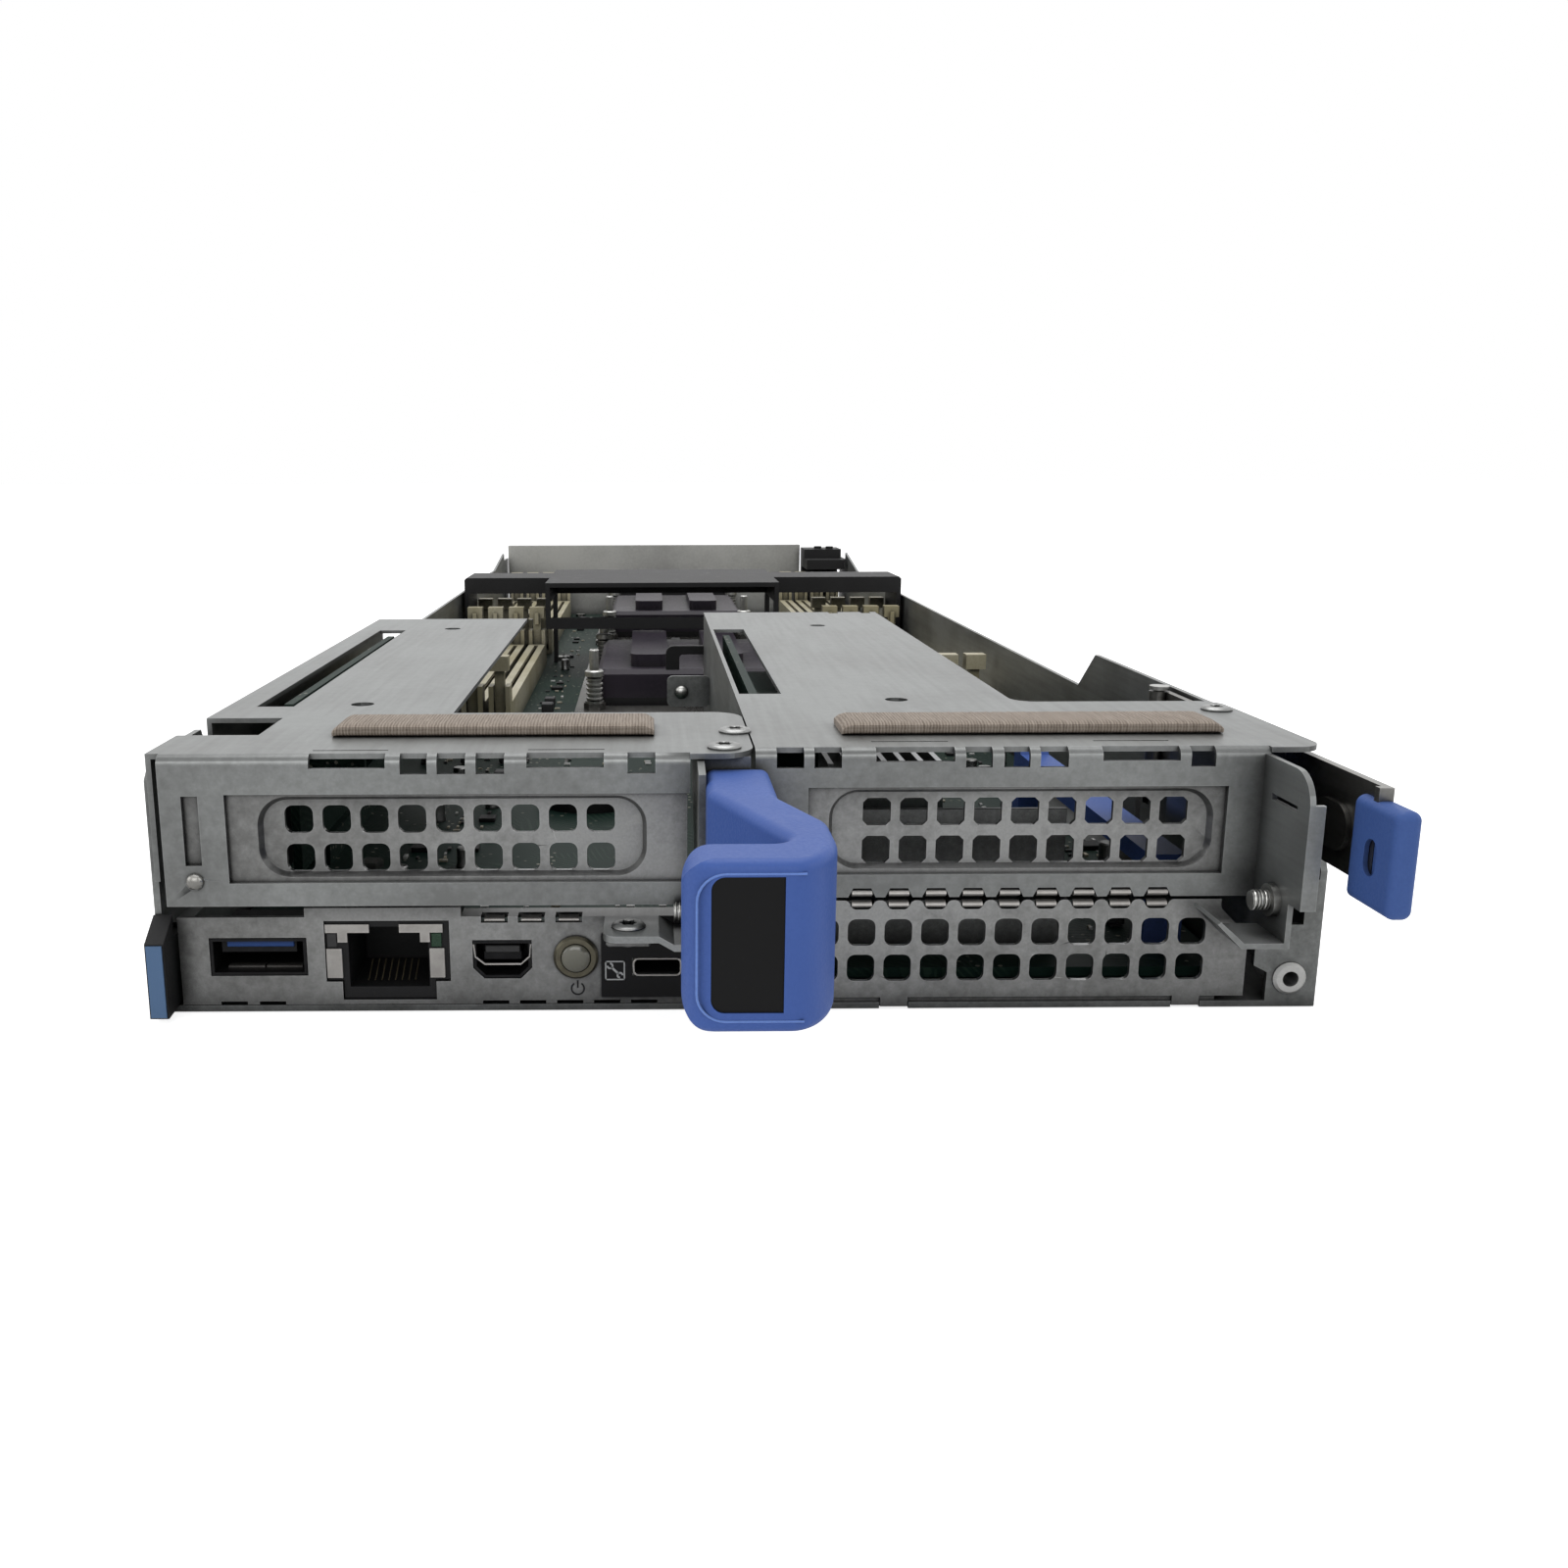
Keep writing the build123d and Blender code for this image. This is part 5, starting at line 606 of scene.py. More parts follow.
@dataclass
class FinishLibrary:
    """Builds one node group for each kind of finish and one material for each finish."""

    groups: dict[Kind, bpy.types.NodeTree] = field(default_factory=dict)
    materials: dict[str, bpy.types.Material] = field(default_factory=dict)

    def group(self, kind: Kind) -> bpy.types.NodeTree:
        """Returns the node group of a kind, building it the first time.

        Args:
            kind: the kind, whose name is also that of its recipe.

        Returns:
            The group.
        """
        if kind in self.groups:
            return self.groups[kind]
        entries = dict.fromkeys(("Colour", "Second"), "Color")
        entries |= dict.fromkeys(("Base Roughness", "Scale", "Seed", "Unshaded", "Edge", "Glint And Slope Shade"), "Float")
        exits = {"Colour": "Color", "Roughness": "Float", "Height": "Float"}
        nodes, inputs, leave = start_tree(f"{kind.value} finish", "ShaderNodeTree", entries, exits)
        place = nodes.add("ShaderNodeTexCoord").outputs["Object"]
        shifted = nodes.add("ShaderNodeVectorMath", operation="ADD", in_0=place, in_1=inputs["Seed"])
        inputs |= {"Place": shifted.outputs[0], "Spot": place}
        surface = getattr(Recipe(nodes.tree, inputs), kind.value)()
        for label, socket in zip(exits, surface):
            nodes.feed(socket, leave.inputs[label])
        self.groups[kind] = nodes.tree
        return nodes.tree

    def material(self, finish: Finish) -> bpy.types.Material:
        """Returns the material of a finish, building it the first time.

        Args:
            finish: the finish to build.

        Returns:
            A material whose constants are set straight on the shader.
        """
        if finish.name in self.materials:
            return self.materials[finish.name]
        material = bpy.data.materials.new(finish.name)
        material.use_nodes = True
        nodes = Nodes(material.node_tree)
        group = nodes.add("ShaderNodeGroup", node_tree=self.group(finish.kind))
        settings = {
            "Colour": rgba(finish.colour),
            "Second": rgba(finish.second),
            "Base Roughness": finish.roughness,
            "Scale": finish.scale,
            "Seed": finish.seed,
            "Glint And Slope Shade": finish.cut,
        }
        for label, value in settings.items():
            nodes.feed(value, group.inputs[label])
        # Sheet, plated and moulded finishes get painted shade in seams and hollows and a painted highlight on
        # convex edges.
        if finish.kind in (Kind.SHEET, Kind.PLATED, Kind.MOULDED):
            self._paint_shade_and_glint(nodes, group, finish)
        bump = nodes.add(
            "ShaderNodeBump", in_Distance=finish.bump, in_Strength=1.0, in_Height=group.outputs["Height"]
        )
        settings = {
            "Base Color": group.outputs["Colour"],
            "Roughness": group.outputs["Roughness"],
            "Normal": bump.outputs[0],
            "Metallic": finish.metallic,
            "Coat Weight": finish.coat,
            "Coat Roughness": 0.08,
            "Specular IOR Level": finish.specular,
        }
        shader = material.node_tree.nodes["Principled BSDF"]
        for label, value in settings.items():
            nodes.feed(value, shader.inputs[label])
        self.materials[finish.name] = material
        return material

    @staticmethod
    def _paint_shade_and_glint(nodes: Nodes, group: bpy.types.Node, finish: Finish) -> None:
        """Finds seams, hollows and the space under the covers, which get painted shade, and convex edges, which
        get a painted highlight.

        Args:
            nodes: helper of the material's tree.
            group: the finish's group node.
            finish: the finish, with its shares of painted seam shade and painted edge highlight.
        """
        occluded = partial(nodes.add, "ShaderNodeAmbientOcclusion")
        # Painted shade in seams and corners, from a short occlusion test.
        seams = occluded(samples=5, in_Distance=SEAM_REACH).outputs["AO"]
        open_share = nodes.ramp(seams, 0.38, 0.97)
        unshaded = nodes.minus(1.0, nodes.times(nodes.minus(1.0, open_share), finish.seam_shade))
        # Painted shade in hollows and under the covers, from a longer occlusion test.
        depths = occluded(samples=4, in_Distance=DEPTH_REACH).outputs["AO"]
        lit = nodes.plus(0.22, nodes.ramp(depths, 0.04, 0.50), 0.78)
        nodes.feed(nodes.times(unshaded, lit), group.inputs["Unshaded"])
        if finish.edge_glint:
            # Painted highlight along convex edges, found where the sheet is thin.
            ridge = occluded(samples=4, inside=True, in_Distance=EDGE_REACH).outputs["AO"]
            edge = nodes.times(nodes.ramp(nodes.minus(1.0, ridge), 0.25, 0.75), finish.edge_glint)
            nodes.feed(edge, group.inputs["Edge"])


@dataclass
class Studio:
    """The camera, the lamps, the floor and the background."""

    focal_px: float = 1402.0
    image_px: float = 1600.0
    centre_px: Pair = (667.36, 782.33)
    eye: Point = (73.666, -195.493, 80.493)
    pitch: float = 12.359
    yaw: float = 0.218
    roll: float = -0.199

    def build(self) -> None:
        """Adds everything that isn't part of the object."""
        self._camera()
        self._lamps()
        self._floor()
        self._world()

    def _camera(self) -> None:
        """Places the camera at the photograph's viewpoint."""
        pitch, yaw, roll = (math.radians(v) for v in (self.pitch, self.yaw, self.roll))
        ahead = Vector((math.sin(yaw) * math.cos(pitch), math.cos(yaw) * math.cos(pitch), -math.sin(pitch)))
        right0 = Vector((math.cos(yaw), -math.sin(yaw), 0.0))
        up0 = right0.cross(ahead)
        right = math.cos(roll) * right0 + math.sin(roll) * up0
        up = -math.sin(roll) * right0 + math.cos(roll) * up0
        data = bpy.data.cameras.new("camera")
        data.sensor_width = SENSOR
        data.sensor_fit = "HORIZONTAL"
        data.lens = self.focal_px * SENSOR / self.image_px
        data.shift_x = (self.image_px / 2 - self.centre_px[0]) / self.image_px
        data.shift_y = -(self.image_px / 2 - self.centre_px[1]) / self.image_px
        data.clip_start = 0.01
        camera = bpy.data.objects.new("camera", data)
        turn = Matrix((right, up, -ahead)).transposed().to_4x4()
        camera.matrix_world = Matrix.Translation(at(*self.eye)) @ turn
        bpy.context.collection.objects.link(camera)
        bpy.context.scene.camera = camera

    @staticmethod
    def _lamp(name: str, place: Point, aim: Point, size: Pair, power: float) -> None:
        """Adds one soft rectangular lamp.

        Args:
            name: the lamp's name.
            place: where it stands, in metres.
            aim: the point that it faces.
            size: its width and height.
            power: its power in watts.
        """
        data = bpy.data.lights.new(name, "AREA")
        data.shape = "RECTANGLE"
        data.size, data.size_y = size
        data.energy = power
        lamp = bpy.data.objects.new(name, data)
        lamp.location = place
        lamp.rotation_euler = (Vector(aim) - Vector(place)).to_track_quat("-Z", "Y").to_euler()
        bpy.context.collection.objects.link(lamp)

    def _lamps(self) -> None:
        """Adds the overhead panel, a front fill and two side panels."""
        aim = (0.0, -0.10, 0.02)
        self._lamp("overhead", (0.0, 0.05, 1.1), aim, (0.9, 0.9), 6.5)
        self._lamp("front", (-0.15, -1.5, 0.75), (0.0, -0.26, 0.02), (1.2, 0.7), 4.6)
        self._lamp("left", (-1.1, -0.5, 0.5), aim, (0.9, 0.6), 1.8)
        self._lamp("right", (1.1, -0.4, 0.6), aim, (0.9, 0.6), 1.8)

    def _floor(self) -> None:
        """Adds the plain pale floor."""
        mesh = bpy.data.meshes.new("floor")
        build = bmesh.new()
        bmesh.ops.create_grid(build, x_segments=1, y_segments=1, size=6.0)
        build.to_mesh(mesh)
        build.free()
        floor = bpy.data.objects.new("floor", mesh)
        floor.location = (0.0, 0.0, -0.0002)
        bpy.context.collection.objects.link(floor)
        material = bpy.data.materials.new("floor")
        material.use_nodes = True
        nodes = Nodes(material.node_tree)
        seen, mirrored = self._rays(nodes)
        glow = nodes.math("MAXIMUM", nodes.times(seen, 0.78), nodes.times(mirrored, 0.05))
        settings = {
            "Base Color": PAPER,
            "Roughness": 0.9,
            "Emission Color": PURE_WHITE,
            "Emission Strength": glow,
        }
        shader = material.node_tree.nodes["Principled BSDF"]
        for label, value in settings.items():
            nodes.feed(value, shader.inputs[label])
        mesh.materials.append(material)

    def _world(self) -> None:
        """Lights softly from all round and shows a white background."""
        world = bpy.data.worlds.new("studio")
        bpy.context.scene.world = world
        world.use_nodes = True
        nodes = Nodes(world.node_tree)
        background = world.node_tree.nodes["Background"]
        background.inputs["Color"].default_value = PURE_WHITE
        strength = nodes.plus(nodes.times(nodes.math("MAXIMUM", *self._rays(nodes)), 0.7), 0.3)
        nodes.feed(strength, background.inputs["Strength"])
        bpy.context.scene.view_settings.view_transform = "Standard"

    @staticmethod
    def _rays(nodes: Nodes) -> tuple[Socket, Socket]:
        """Tells the rays that the camera sends apart from those of reflections.

        Args:
            nodes: helper of the tree that asks.

        Returns:
            One for a ray of the camera, straight or through glass, and one for a ray of a reflection.
        """
        path = nodes.add("ShaderNodeLightPath").outputs
        seen = nodes.math("MAXIMUM", path["Is Camera Ray"], path["Is Transmission Ray"])
        return seen, path["Is Glossy Ray"]


class Axis(Enum):
    """Directions that a shape is drawn across."""

    X = 0
    Y = 1
    Z = 2


@dataclass
class Mesher:
    """Collects the faces of one piece, in millimetres inside the sled."""

    build: bmesh.types.BMesh = field(default_factory=bmesh.new)

    def slab(self, low: Point, high: Point, chamfer: float = 0.0) -> "Mesher":
        """Adds a block whose edges are eased.

        Args:
            low: lowest corner.
            high: highest corner.
            chamfer: width of the eased edge.

        Returns:
            This mesher, so that calls can be chained.
        """
        made = bmesh.ops.create_cube(self.build, size=1.0)["verts"]
        for vert in made:
            vert.co = Vector(((a + b) / 2 + c * (b - a)) for a, b, c in zip(low, high, vert.co))
        if chamfer:
            edges = list({edge for vert in made for edge in vert.link_edges})
            bmesh.ops.bevel(self.build, geom=edges, offset=chamfer, segments=1, affect="EDGES")
        return self

    def prism(self, outline: Sequence[Pair], axis: Axis, low: float, high: float) -> "Mesher":
        """Adds a flat outline drawn out along an axis.

        Args:
            outline: corners across the axis, in the order of the other two axes.
            axis: the direction of the depth.
            low: where the depth starts.
            high: where it ends.

        Returns:
            This mesher.
        """
        return self.skin([[self._across(axis, depth, *pair) for pair in outline] for depth in (low, high)])

    def turn(self, profile: Profile, centre: Point, axis: Axis, steps: int = 24) -> "Mesher":
        """Adds a turned shape, whose rings may be lobed.

        Args:
            profile: radius and offset along the axis of each ring, and its lobe depth if it has lobes.
            centre: where the offsets start.
            axis: the axis of turning.
            steps: corners in each ring.

        Returns:
            This mesher.
        """
        rings = []
        for radius, along, *lobe in profile:
            ring = []
            for step in range(steps):
                angle = math.tau * step / steps
                reach = radius * (1.0 + sum(lobe) * math.cos(LOBES * angle))
                offset = self._across(axis, along, reach * math.cos(angle), reach * math.sin(angle))
                ring.append(tuple(start + shift for start, shift in zip(centre, offset)))
            rings.append(ring)
        return self.skin(rings)

    def wire(self, path: Sequence[Point], radius: float, steps: int = 8) -> "Mesher":
        """Adds a round wire along a path.

        Args:
            path: points that the wire follows.
            radius: radius of the wire.
            steps: corners round it.

        Returns:
            This mesher.
        """
        points = [Vector(point) for point in path]
        angles = [math.tau * step / steps for step in range(steps)]
        rings = []
        for index, point in enumerate(points):
            before, after = points[max(index - 1, 0)], points[min(index + 1, len(points) - 1)]
            ahead = (after - before).normalized()
            side = ahead.cross(Vector((0.13, 0.31, 0.94))).normalized()
            rise = side.cross(ahead)
            rings.append([point + radius * (math.cos(a) * side + math.sin(a) * rise) for a in angles])
        return self.skin(rings)

    def skin(self, rings: Sequence[Sequence[Point]]) -> "Mesher":
        """Joins each ring of corners to the next, and closes the first and the last.

        Args:
            rings: the corners of each ring, as many in one ring as in another.

        Returns:
            This mesher.
        """
        made = [[self.build.verts.new(place) for place in ring] for ring in rings]
        for near, far in zip(made, made[1:]):
            for index, corner in enumerate(near):
                following = (index + 1) % len(near)
                self.build.faces.new((corner, near[following], far[following], far[index]))
        for ring in (made[0], made[-1]):
            self.build.faces.new(ring)
        return self

    @staticmethod
    def _across(axis: Axis, depth: float, first: float, second: float) -> Point:
        """Puts a depth along an axis together with two measures across it.

        Args:
            axis: the axis.
            depth: the measure along it.
            first: the measure along the first of the other two axes.
            second: the measure along the second of them.

        Returns:
            The place.
        """
        place = [first, second]
        place.insert(axis.value, depth)
        return tuple(place)

    def mesh(self, name: str, placed: bool = True) -> bpy.types.Mesh:
        """Closes the shape and returns it as a mesh.

        Args:
            name: the mesh's name.
            placed: whether the millimetres are places in the sled, or sizes round an origin.

        Returns:
            The mesh in metres, with its faces outwards and sharp edges kept.
        """
        bmesh.ops.recalc_face_normals(self.build, faces=self.build.faces)
        for vert in self.build.verts:
            vert.co = at(*vert.co) if placed else vert.co * MM
        mesh = bpy.data.meshes.new(name)
        self.build.to_mesh(mesh)
        self.build.free()
        mesh.shade_smooth()
        mesh.set_sharp_from_angle(angle=CREASE)
        return mesh


def arc(centre: Pair, radius: float, start: float, end: float, steps: int) -> list[Pair]:
    """Returns points along an arc, between two angles in degrees."""
    angles = (math.radians(start + (end - start) * step / steps) for step in range(steps + 1))
    return [(centre[0] + radius * math.cos(a), centre[1] + radius * math.sin(a)) for a in angles]


def rounded(low: Pair, high: Pair, radius: float, steps: int = 4) -> list[Pair]:
    """Draws a rectangle with round corners.

    Args:
        low: lowest corner.
        high: highest corner.
        radius: radius of the corners.
        steps: steps in each corner.

    Returns:
        The points of its outline.
    """
    corners = (
        ((high[0] - radius, high[1] - radius), 0.0),
        ((low[0] + radius, high[1] - radius), 90.0),
        ((low[0] + radius, low[1] + radius), 180.0),
        ((high[0] - radius, low[1] + radius), 270.0),
    )
    return [point for centre, start in corners for point in arc(centre, radius, start, start + 90.0, steps)]


@dataclass
class Workshop:
    """Turns meshes into pieces that ride on a body, and repeats stamps with Geometry Nodes."""

    library: FinishLibrary

    def piece(
        self, name: str, shape: Mesher | bpy.types.Mesh, finish: Finish, slot: str, body: Body = Body.SLED
    ) -> bpy.types.Object:
        """Adds a finished piece to the scene.

        Args:
            name: the piece's name.
            shape: its shape, as a mesher or as a mesh already in place.
            finish: its finish.
            slot: the record's material slot; not used.
            body: the body that carries it.

        Returns:
            The new object.
        """
        mesh = shape.mesh(name) if isinstance(shape, Mesher) else shape
        mesh.materials.clear()
        mesh.materials.append(self.library.material(finish))
        made = bpy.data.objects.new(name, mesh)
        bpy.context.collection.objects.link(made)
        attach(made, body.value)
        log.info("piece %s rides on %s", name, body.value)
        return made

    def repeated(
        self,
        name: str,
        stamp: Mesher,
        places: Sequence[Point],
        finish: Finish,
        slot: str,
        count: int = 1,
        step: Point = ORIGIN,
        spread: Pair = (1.0, 1.0),
        quarter: float = 0.0,
        seed: int = 1,
    ) -> bpy.types.Object:
        """Adds a piece that repeats one stamp at many places.

        Args:
            name: the piece's name.
            stamp: the shape that is repeated, round its own origin.
            places: where each row starts, in millimetres inside the sled.
            finish: the finish of the piece.
            slot: the record's material slot.
            count: stamps in each row.
            step: millimetres from one stamp to the next.
            spread: smallest and largest scale.
            quarter: share of quarter turns about Z that a stamp may take.
            seed: seed of the random scale and turn.

        Returns:
            The new object, as a plain mesh.
        """
        cloud = bpy.data.meshes.new(name)
        cloud.from_pydata([at(*place) for place in places], [], [])
        carrier = bpy.data.objects.new(name + "_rows", cloud)
        pattern = bpy.data.objects.new(name + "_stamp", stamp.mesh(name + "_stamp", placed=False))
        bpy.context.collection.objects.link(pattern)
        values = {
            "Stamp": pattern,
            "Count": count,
            "Step": Vector(step) * MM,
            "Smallest": spread[0],
            "Largest": spread[1],
            "Turns": quarter,
            "Seed": seed,
            "Finish": self.library.material(finish),
        }
        mesh = self._evaluate(carrier, self.rows_tree, values)
        bpy.data.objects.remove(pattern)
        return self.piece(name, mesh, finish, slot)

    def thread(
        self, name: str, start: Point, turns: float, pitch: float, radius: float, finish: Finish, slot: str
    ) -> bpy.types.Object:
        """Adds a screw thread that runs along X.

        Args:
            name: the piece's name.
            start: where the thread's axis starts, in millimetres inside the sled.
            turns: turns of the thread.
            pitch: millimetres a turn.
            radius: radius of the thread's middle.
            finish: the finish of the piece.
            slot: the record's material slot.

        Returns:
            The new object, as a plain mesh.
        """
        carrier = bpy.data.objects.new(name + "_rows", bpy.data.meshes.new(name))
        values = {
            "Start": at(*start),
            "Turns": turns,
            "Length": turns * pitch * MM,
            "Radius": radius * MM,
            "Wire": pitch * 0.30 * MM,
            "Finish": self.library.material(finish),
        }
        return self.piece(name, self._evaluate(carrier, self.thread_tree, values), finish, slot)

    @staticmethod
    def _evaluate(
        carrier: bpy.types.Object, tree: bpy.types.NodeTree, values: dict[str, object]
    ) -> bpy.types.Mesh:
        """Runs a tree on an object and removes the object.

        Args:
            carrier: the object, which isn't in the scene yet.
            tree: the tree to run.
            values: the tree's inputs by name.

        Returns:
            The result as a plain mesh.
        """
        bpy.context.collection.objects.link(carrier)
        modifier = carrier.modifiers.new("repeat", "NODES")
        modifier.node_group = tree
        for item in tree.interface.items_tree:
            if item.item_type == "SOCKET" and item.in_out == "INPUT" and item.name in values:
                modifier[item.identifier] = values[item.name]
        bpy.context.view_layer.update()
        graph = bpy.context.evaluated_depsgraph_get()
        mesh = bpy.data.meshes.new_from_object(carrier.evaluated_get(graph))
        bpy.data.objects.remove(carrier)
        mesh.shade_smooth()
        mesh.set_sharp_from_angle(angle=CREASE)
        return mesh

    @staticmethod
    def _leave(nodes: Nodes, geometry: Socket, finish: Socket, leave: bpy.types.Node) -> bpy.types.NodeTree:
        """Makes a tree's result real and gives it its finish.

        Args:
            nodes: helper of the tree.
            geometry: the result.
            finish: the input that holds the material.
            leave: the tree's output node.

        Returns:
            The finished tree.
        """
        real = nodes.add("GeometryNodeRealizeInstances", in_Geometry=geometry).outputs[0]
        done = nodes.add("GeometryNodeSetMaterial", in_Geometry=real, in_Material=finish).outputs[0]
        nodes.feed(done, leave.inputs[0])
        return nodes.tree

    @cached_property
    def rows_tree(self) -> bpy.types.NodeTree:
        """Builds the tree that stamps a shape along rows, once.

        Returns:
            The tree.
        """
        entries = {
            "Geometry": "Geometry",
            "Stamp": "Object",
            "Count": "Int",
            "Step": "Vector",
            "Smallest": "Float",
            "Largest": "Float",
            "Turns": "Float",
            "Seed": "Int",
            "Finish": "Material",
        }
        exits = {"Geometry": "Geometry"}
        nodes, inputs, leave = start_tree("stamps in rows", "GeometryNodeTree", entries, exits)
        line = nodes.add("GeometryNodeMeshLine", in_Count=inputs["Count"], in_Offset=inputs["Step"])
        spread = partial(nodes.add, "GeometryNodeInstanceOnPoints")
        rows = spread(in_Points=inputs["Geometry"], in_Instance=line.outputs[0])
        rows = nodes.add("GeometryNodeRealizeInstances", in_Geometry=rows.outputs[0]).outputs[0]
        shape = nodes.add("GeometryNodeObjectInfo", in_Object=inputs["Stamp"]).outputs["Geometry"]
        drawn = []
        for low, high in ((inputs["Smallest"], inputs["Largest"]), (0.0, inputs["Turns"])):
            node = nodes.add("FunctionNodeRandomValue", data_type="FLOAT", in_Seed=inputs["Seed"])
            floats = [socket for socket in node.inputs if socket.type == "VALUE" and socket.enabled]
            nodes.feed(low, floats[0])
            nodes.feed(high, floats[1])
            drawn.append(next(s for s in node.outputs if s.type == "VALUE" and s.enabled))
        quarter = nodes.times(nodes.math("ROUND", drawn[1]), math.pi / 2)
        angle = nodes.add("ShaderNodeCombineXYZ", in_Z=quarter).outputs[0]
        stamps = spread(in_Points=rows, in_Instance=shape, in_Rotation=angle, in_Scale=drawn[0])
        return self._leave(nodes, stamps.outputs[0], inputs["Finish"], leave)

    @cached_property
    def thread_tree(self) -> bpy.types.NodeTree:
        """Builds the tree that winds a thread along X, once.

        Returns:
            The tree.
        """
        entries = {"Geometry": "Geometry", "Start": "Vector", "Finish": "Material"}
        entries |= dict.fromkeys(("Turns", "Length", "Radius", "Wire"), "Float")
        exits = {"Geometry": "Geometry"}
        nodes, inputs, leave = start_tree("wound thread", "GeometryNodeTree", entries, exits)
        spiral = nodes.add("GeometryNodeCurveSpiral", in_Resolution=24, in_Rotations=inputs["Turns"])
        nodes.feed(inputs["Length"], spiral.inputs["Height"])
        for label in ("Start Radius", "End Radius"):
            nodes.feed(inputs["Radius"], spiral.inputs[label])
        round_wire = nodes.add("GeometryNodeCurvePrimitiveCircle", in_Resolution=6, in_Radius=inputs["Wire"])
        wound = nodes.add("GeometryNodeCurveToMesh", in_Curve=spiral.outputs[0])
        nodes.feed(round_wire.outputs[0], wound.inputs["Profile Curve"])
        nodes.feed(True, wound.inputs["Fill Caps"])
        placed = nodes.add(
            "GeometryNodeTransform",
            in_Geometry=wound.outputs[0], in_Translation=inputs["Start"], in_Rotation=(0.0, math.pi / 2, 0.0),
        ).outputs[0]
        return self._leave(nodes, placed, inputs["Finish"], leave)


@dataclass
class PortFittings:
    """What shows inside the ports of the front panel, and the button."""

    workshop: Workshop
    tongue_low: Point = (10.2, 0.55, 10.1)
    tongue_high: Point = (20.3, 12.0, 11.15)
    spring_spans: tuple[Pair, ...] = ((9.7, 15.2), (15.5, 20.9))
    spring_outline: tuple[Pair, ...] = ((2.2, 6.05), (2.2, 6.5), (2.7, 6.62), (5.0, 6.1), (5.0, 5.8))
    tab_y: Pair = (0.05, 0.38)
    tab_z: Pair = (12.4, 13.7)
    tab_spans: tuple[tuple[Pair, Pair], ...] = (
        ((25.15, 31.7), (26.95, 28.4)),
        ((36.2, 42.7), (39.3, 40.75)),
    )
    stem_low: float = 10.9
    plate_spans: tuple[Pair, ...] = ((25.1, 27.5), (40.6, 42.9))
    plate_y: Pair = (0.08, 0.4)
    plate_z: Pair = (5.2, 9.9)
    light_y: Pair = (0.12, 2.0)
    light_z: Pair = (10.1, 12.3)
    left_light: Pair = (25.3, 26.8)
    right_light: Pair = (40.95, 42.5)
    contact_start: Point = (30.85, 2.2, 4.15)
    contact_path: tuple[Point, ...] = ((0, 0, 0), (0, 0.5, 0.1), (0, 3.4, 1.7), (0, 4.0, 1.9))
    contact_wire: float = 0.11
    contact_pitch: float = 1.02
    contacts: int = 8
    rim_wire: float = 0.17
    display_y: float = 0.12
    display_rim: tuple[Pair, ...] = (
        (47.25, 10.5), (47.5, 8.5), (48.9, 7.35), (54.3, 7.35), (55.6, 8.5), (55.85, 10.5),
    )
    display_tongue: tuple[Point, Point] = ((48.9, 0.5, 9.0), (54.2, 6.0, 10.2))
    service_rim: tuple[Pair, Pair] = ((71.25, 5.7), (78.35, 8.3))
    service_corner: float = 0.75
    service_y: float = -0.42
    sign_low: Pair = (66.95, 4.9)
    sign_high: Pair = (69.95, 7.95)
    sign_y: Pair = (-0.43, -0.4)
    sign_line: float = 0.2
    spanner_tilt: float = -45.0
    spanner_reach: float = 1.05
    spanner_half: float = 0.17
    button_axis: Pair = (62.6, 8.5)
    button_radius: float = 2.2
    dome_foot: float = -0.7
    dome_height: float = 0.72
    power_centre: Pair = (62.8, 3.45)
    power_radius: float = 0.95
    power_line: float = 0.115
    power_y: Pair = (-0.03, 0.01)

    def build(self) -> None:
        """Adds the fittings of each port, then the button's dome."""
        self._usb()
        self._network()
        self._display()
        self._service()
        self._button()

    def _usb(self) -> None:
        """Adds the blue tongue and the sprung shell strip."""
        tongue = Mesher().slab(self.tongue_low, self.tongue_high, 0.12)
        self.workshop.piece("usb_tongue", tongue, PORT_BLUE, "handle_blue")
        strip = Mesher()
        for low, high in self.spring_spans:
            strip.prism(self.spring_outline, Axis.X, low, high)
        self.workshop.piece("usb_springs", strip, SATIN, "port_shell")

    def _network(self) -> None:
        """Adds the shield tabs, side plates, light pipes and contacts."""
        tabs = Mesher()
        low, high = self.tab_z
        for bar, stem in self.tab_spans:
            outline = [
                (bar[0], high), (bar[0], low), (stem[0], low), (stem[0], self.stem_low),
                (stem[1], self.stem_low), (stem[1], low), (bar[1], low), (bar[1], high),
            ]
            tabs.prism(outline, Axis.Y, *self.tab_y)
        for x0, x1 in self.plate_spans:
            tabs.slab((x0, self.plate_y[0], self.plate_z[0]), (x1, self.plate_y[1], self.plate_z[1]), 0.08)
        self.workshop.piece("network_shield_tabs", tabs, SATIN, "port_shell")
        for name, (x0, x1), finish, slot in (
            ("network_left_light", self.left_light, LIGHT_GREY, "button_grey"),
            ("network_right_light", self.right_light, LIGHT_GREEN, "board_green"),
        ):
            low, high = (x0, self.light_y[0], self.light_z[0]), (x1, self.light_y[1], self.light_z[1])
            self.workshop.piece(name, Mesher().slab(low, high, 0.1), finish, slot)
        stamp = Mesher().wire(self.contact_path, self.contact_wire, 6)
        self.workshop.repeated(
            "network_contacts", stamp, [self.contact_start], GOLD, "port_shell",
            count=self.contacts, step=(self.contact_pitch, 0.0, 0.0),
        )

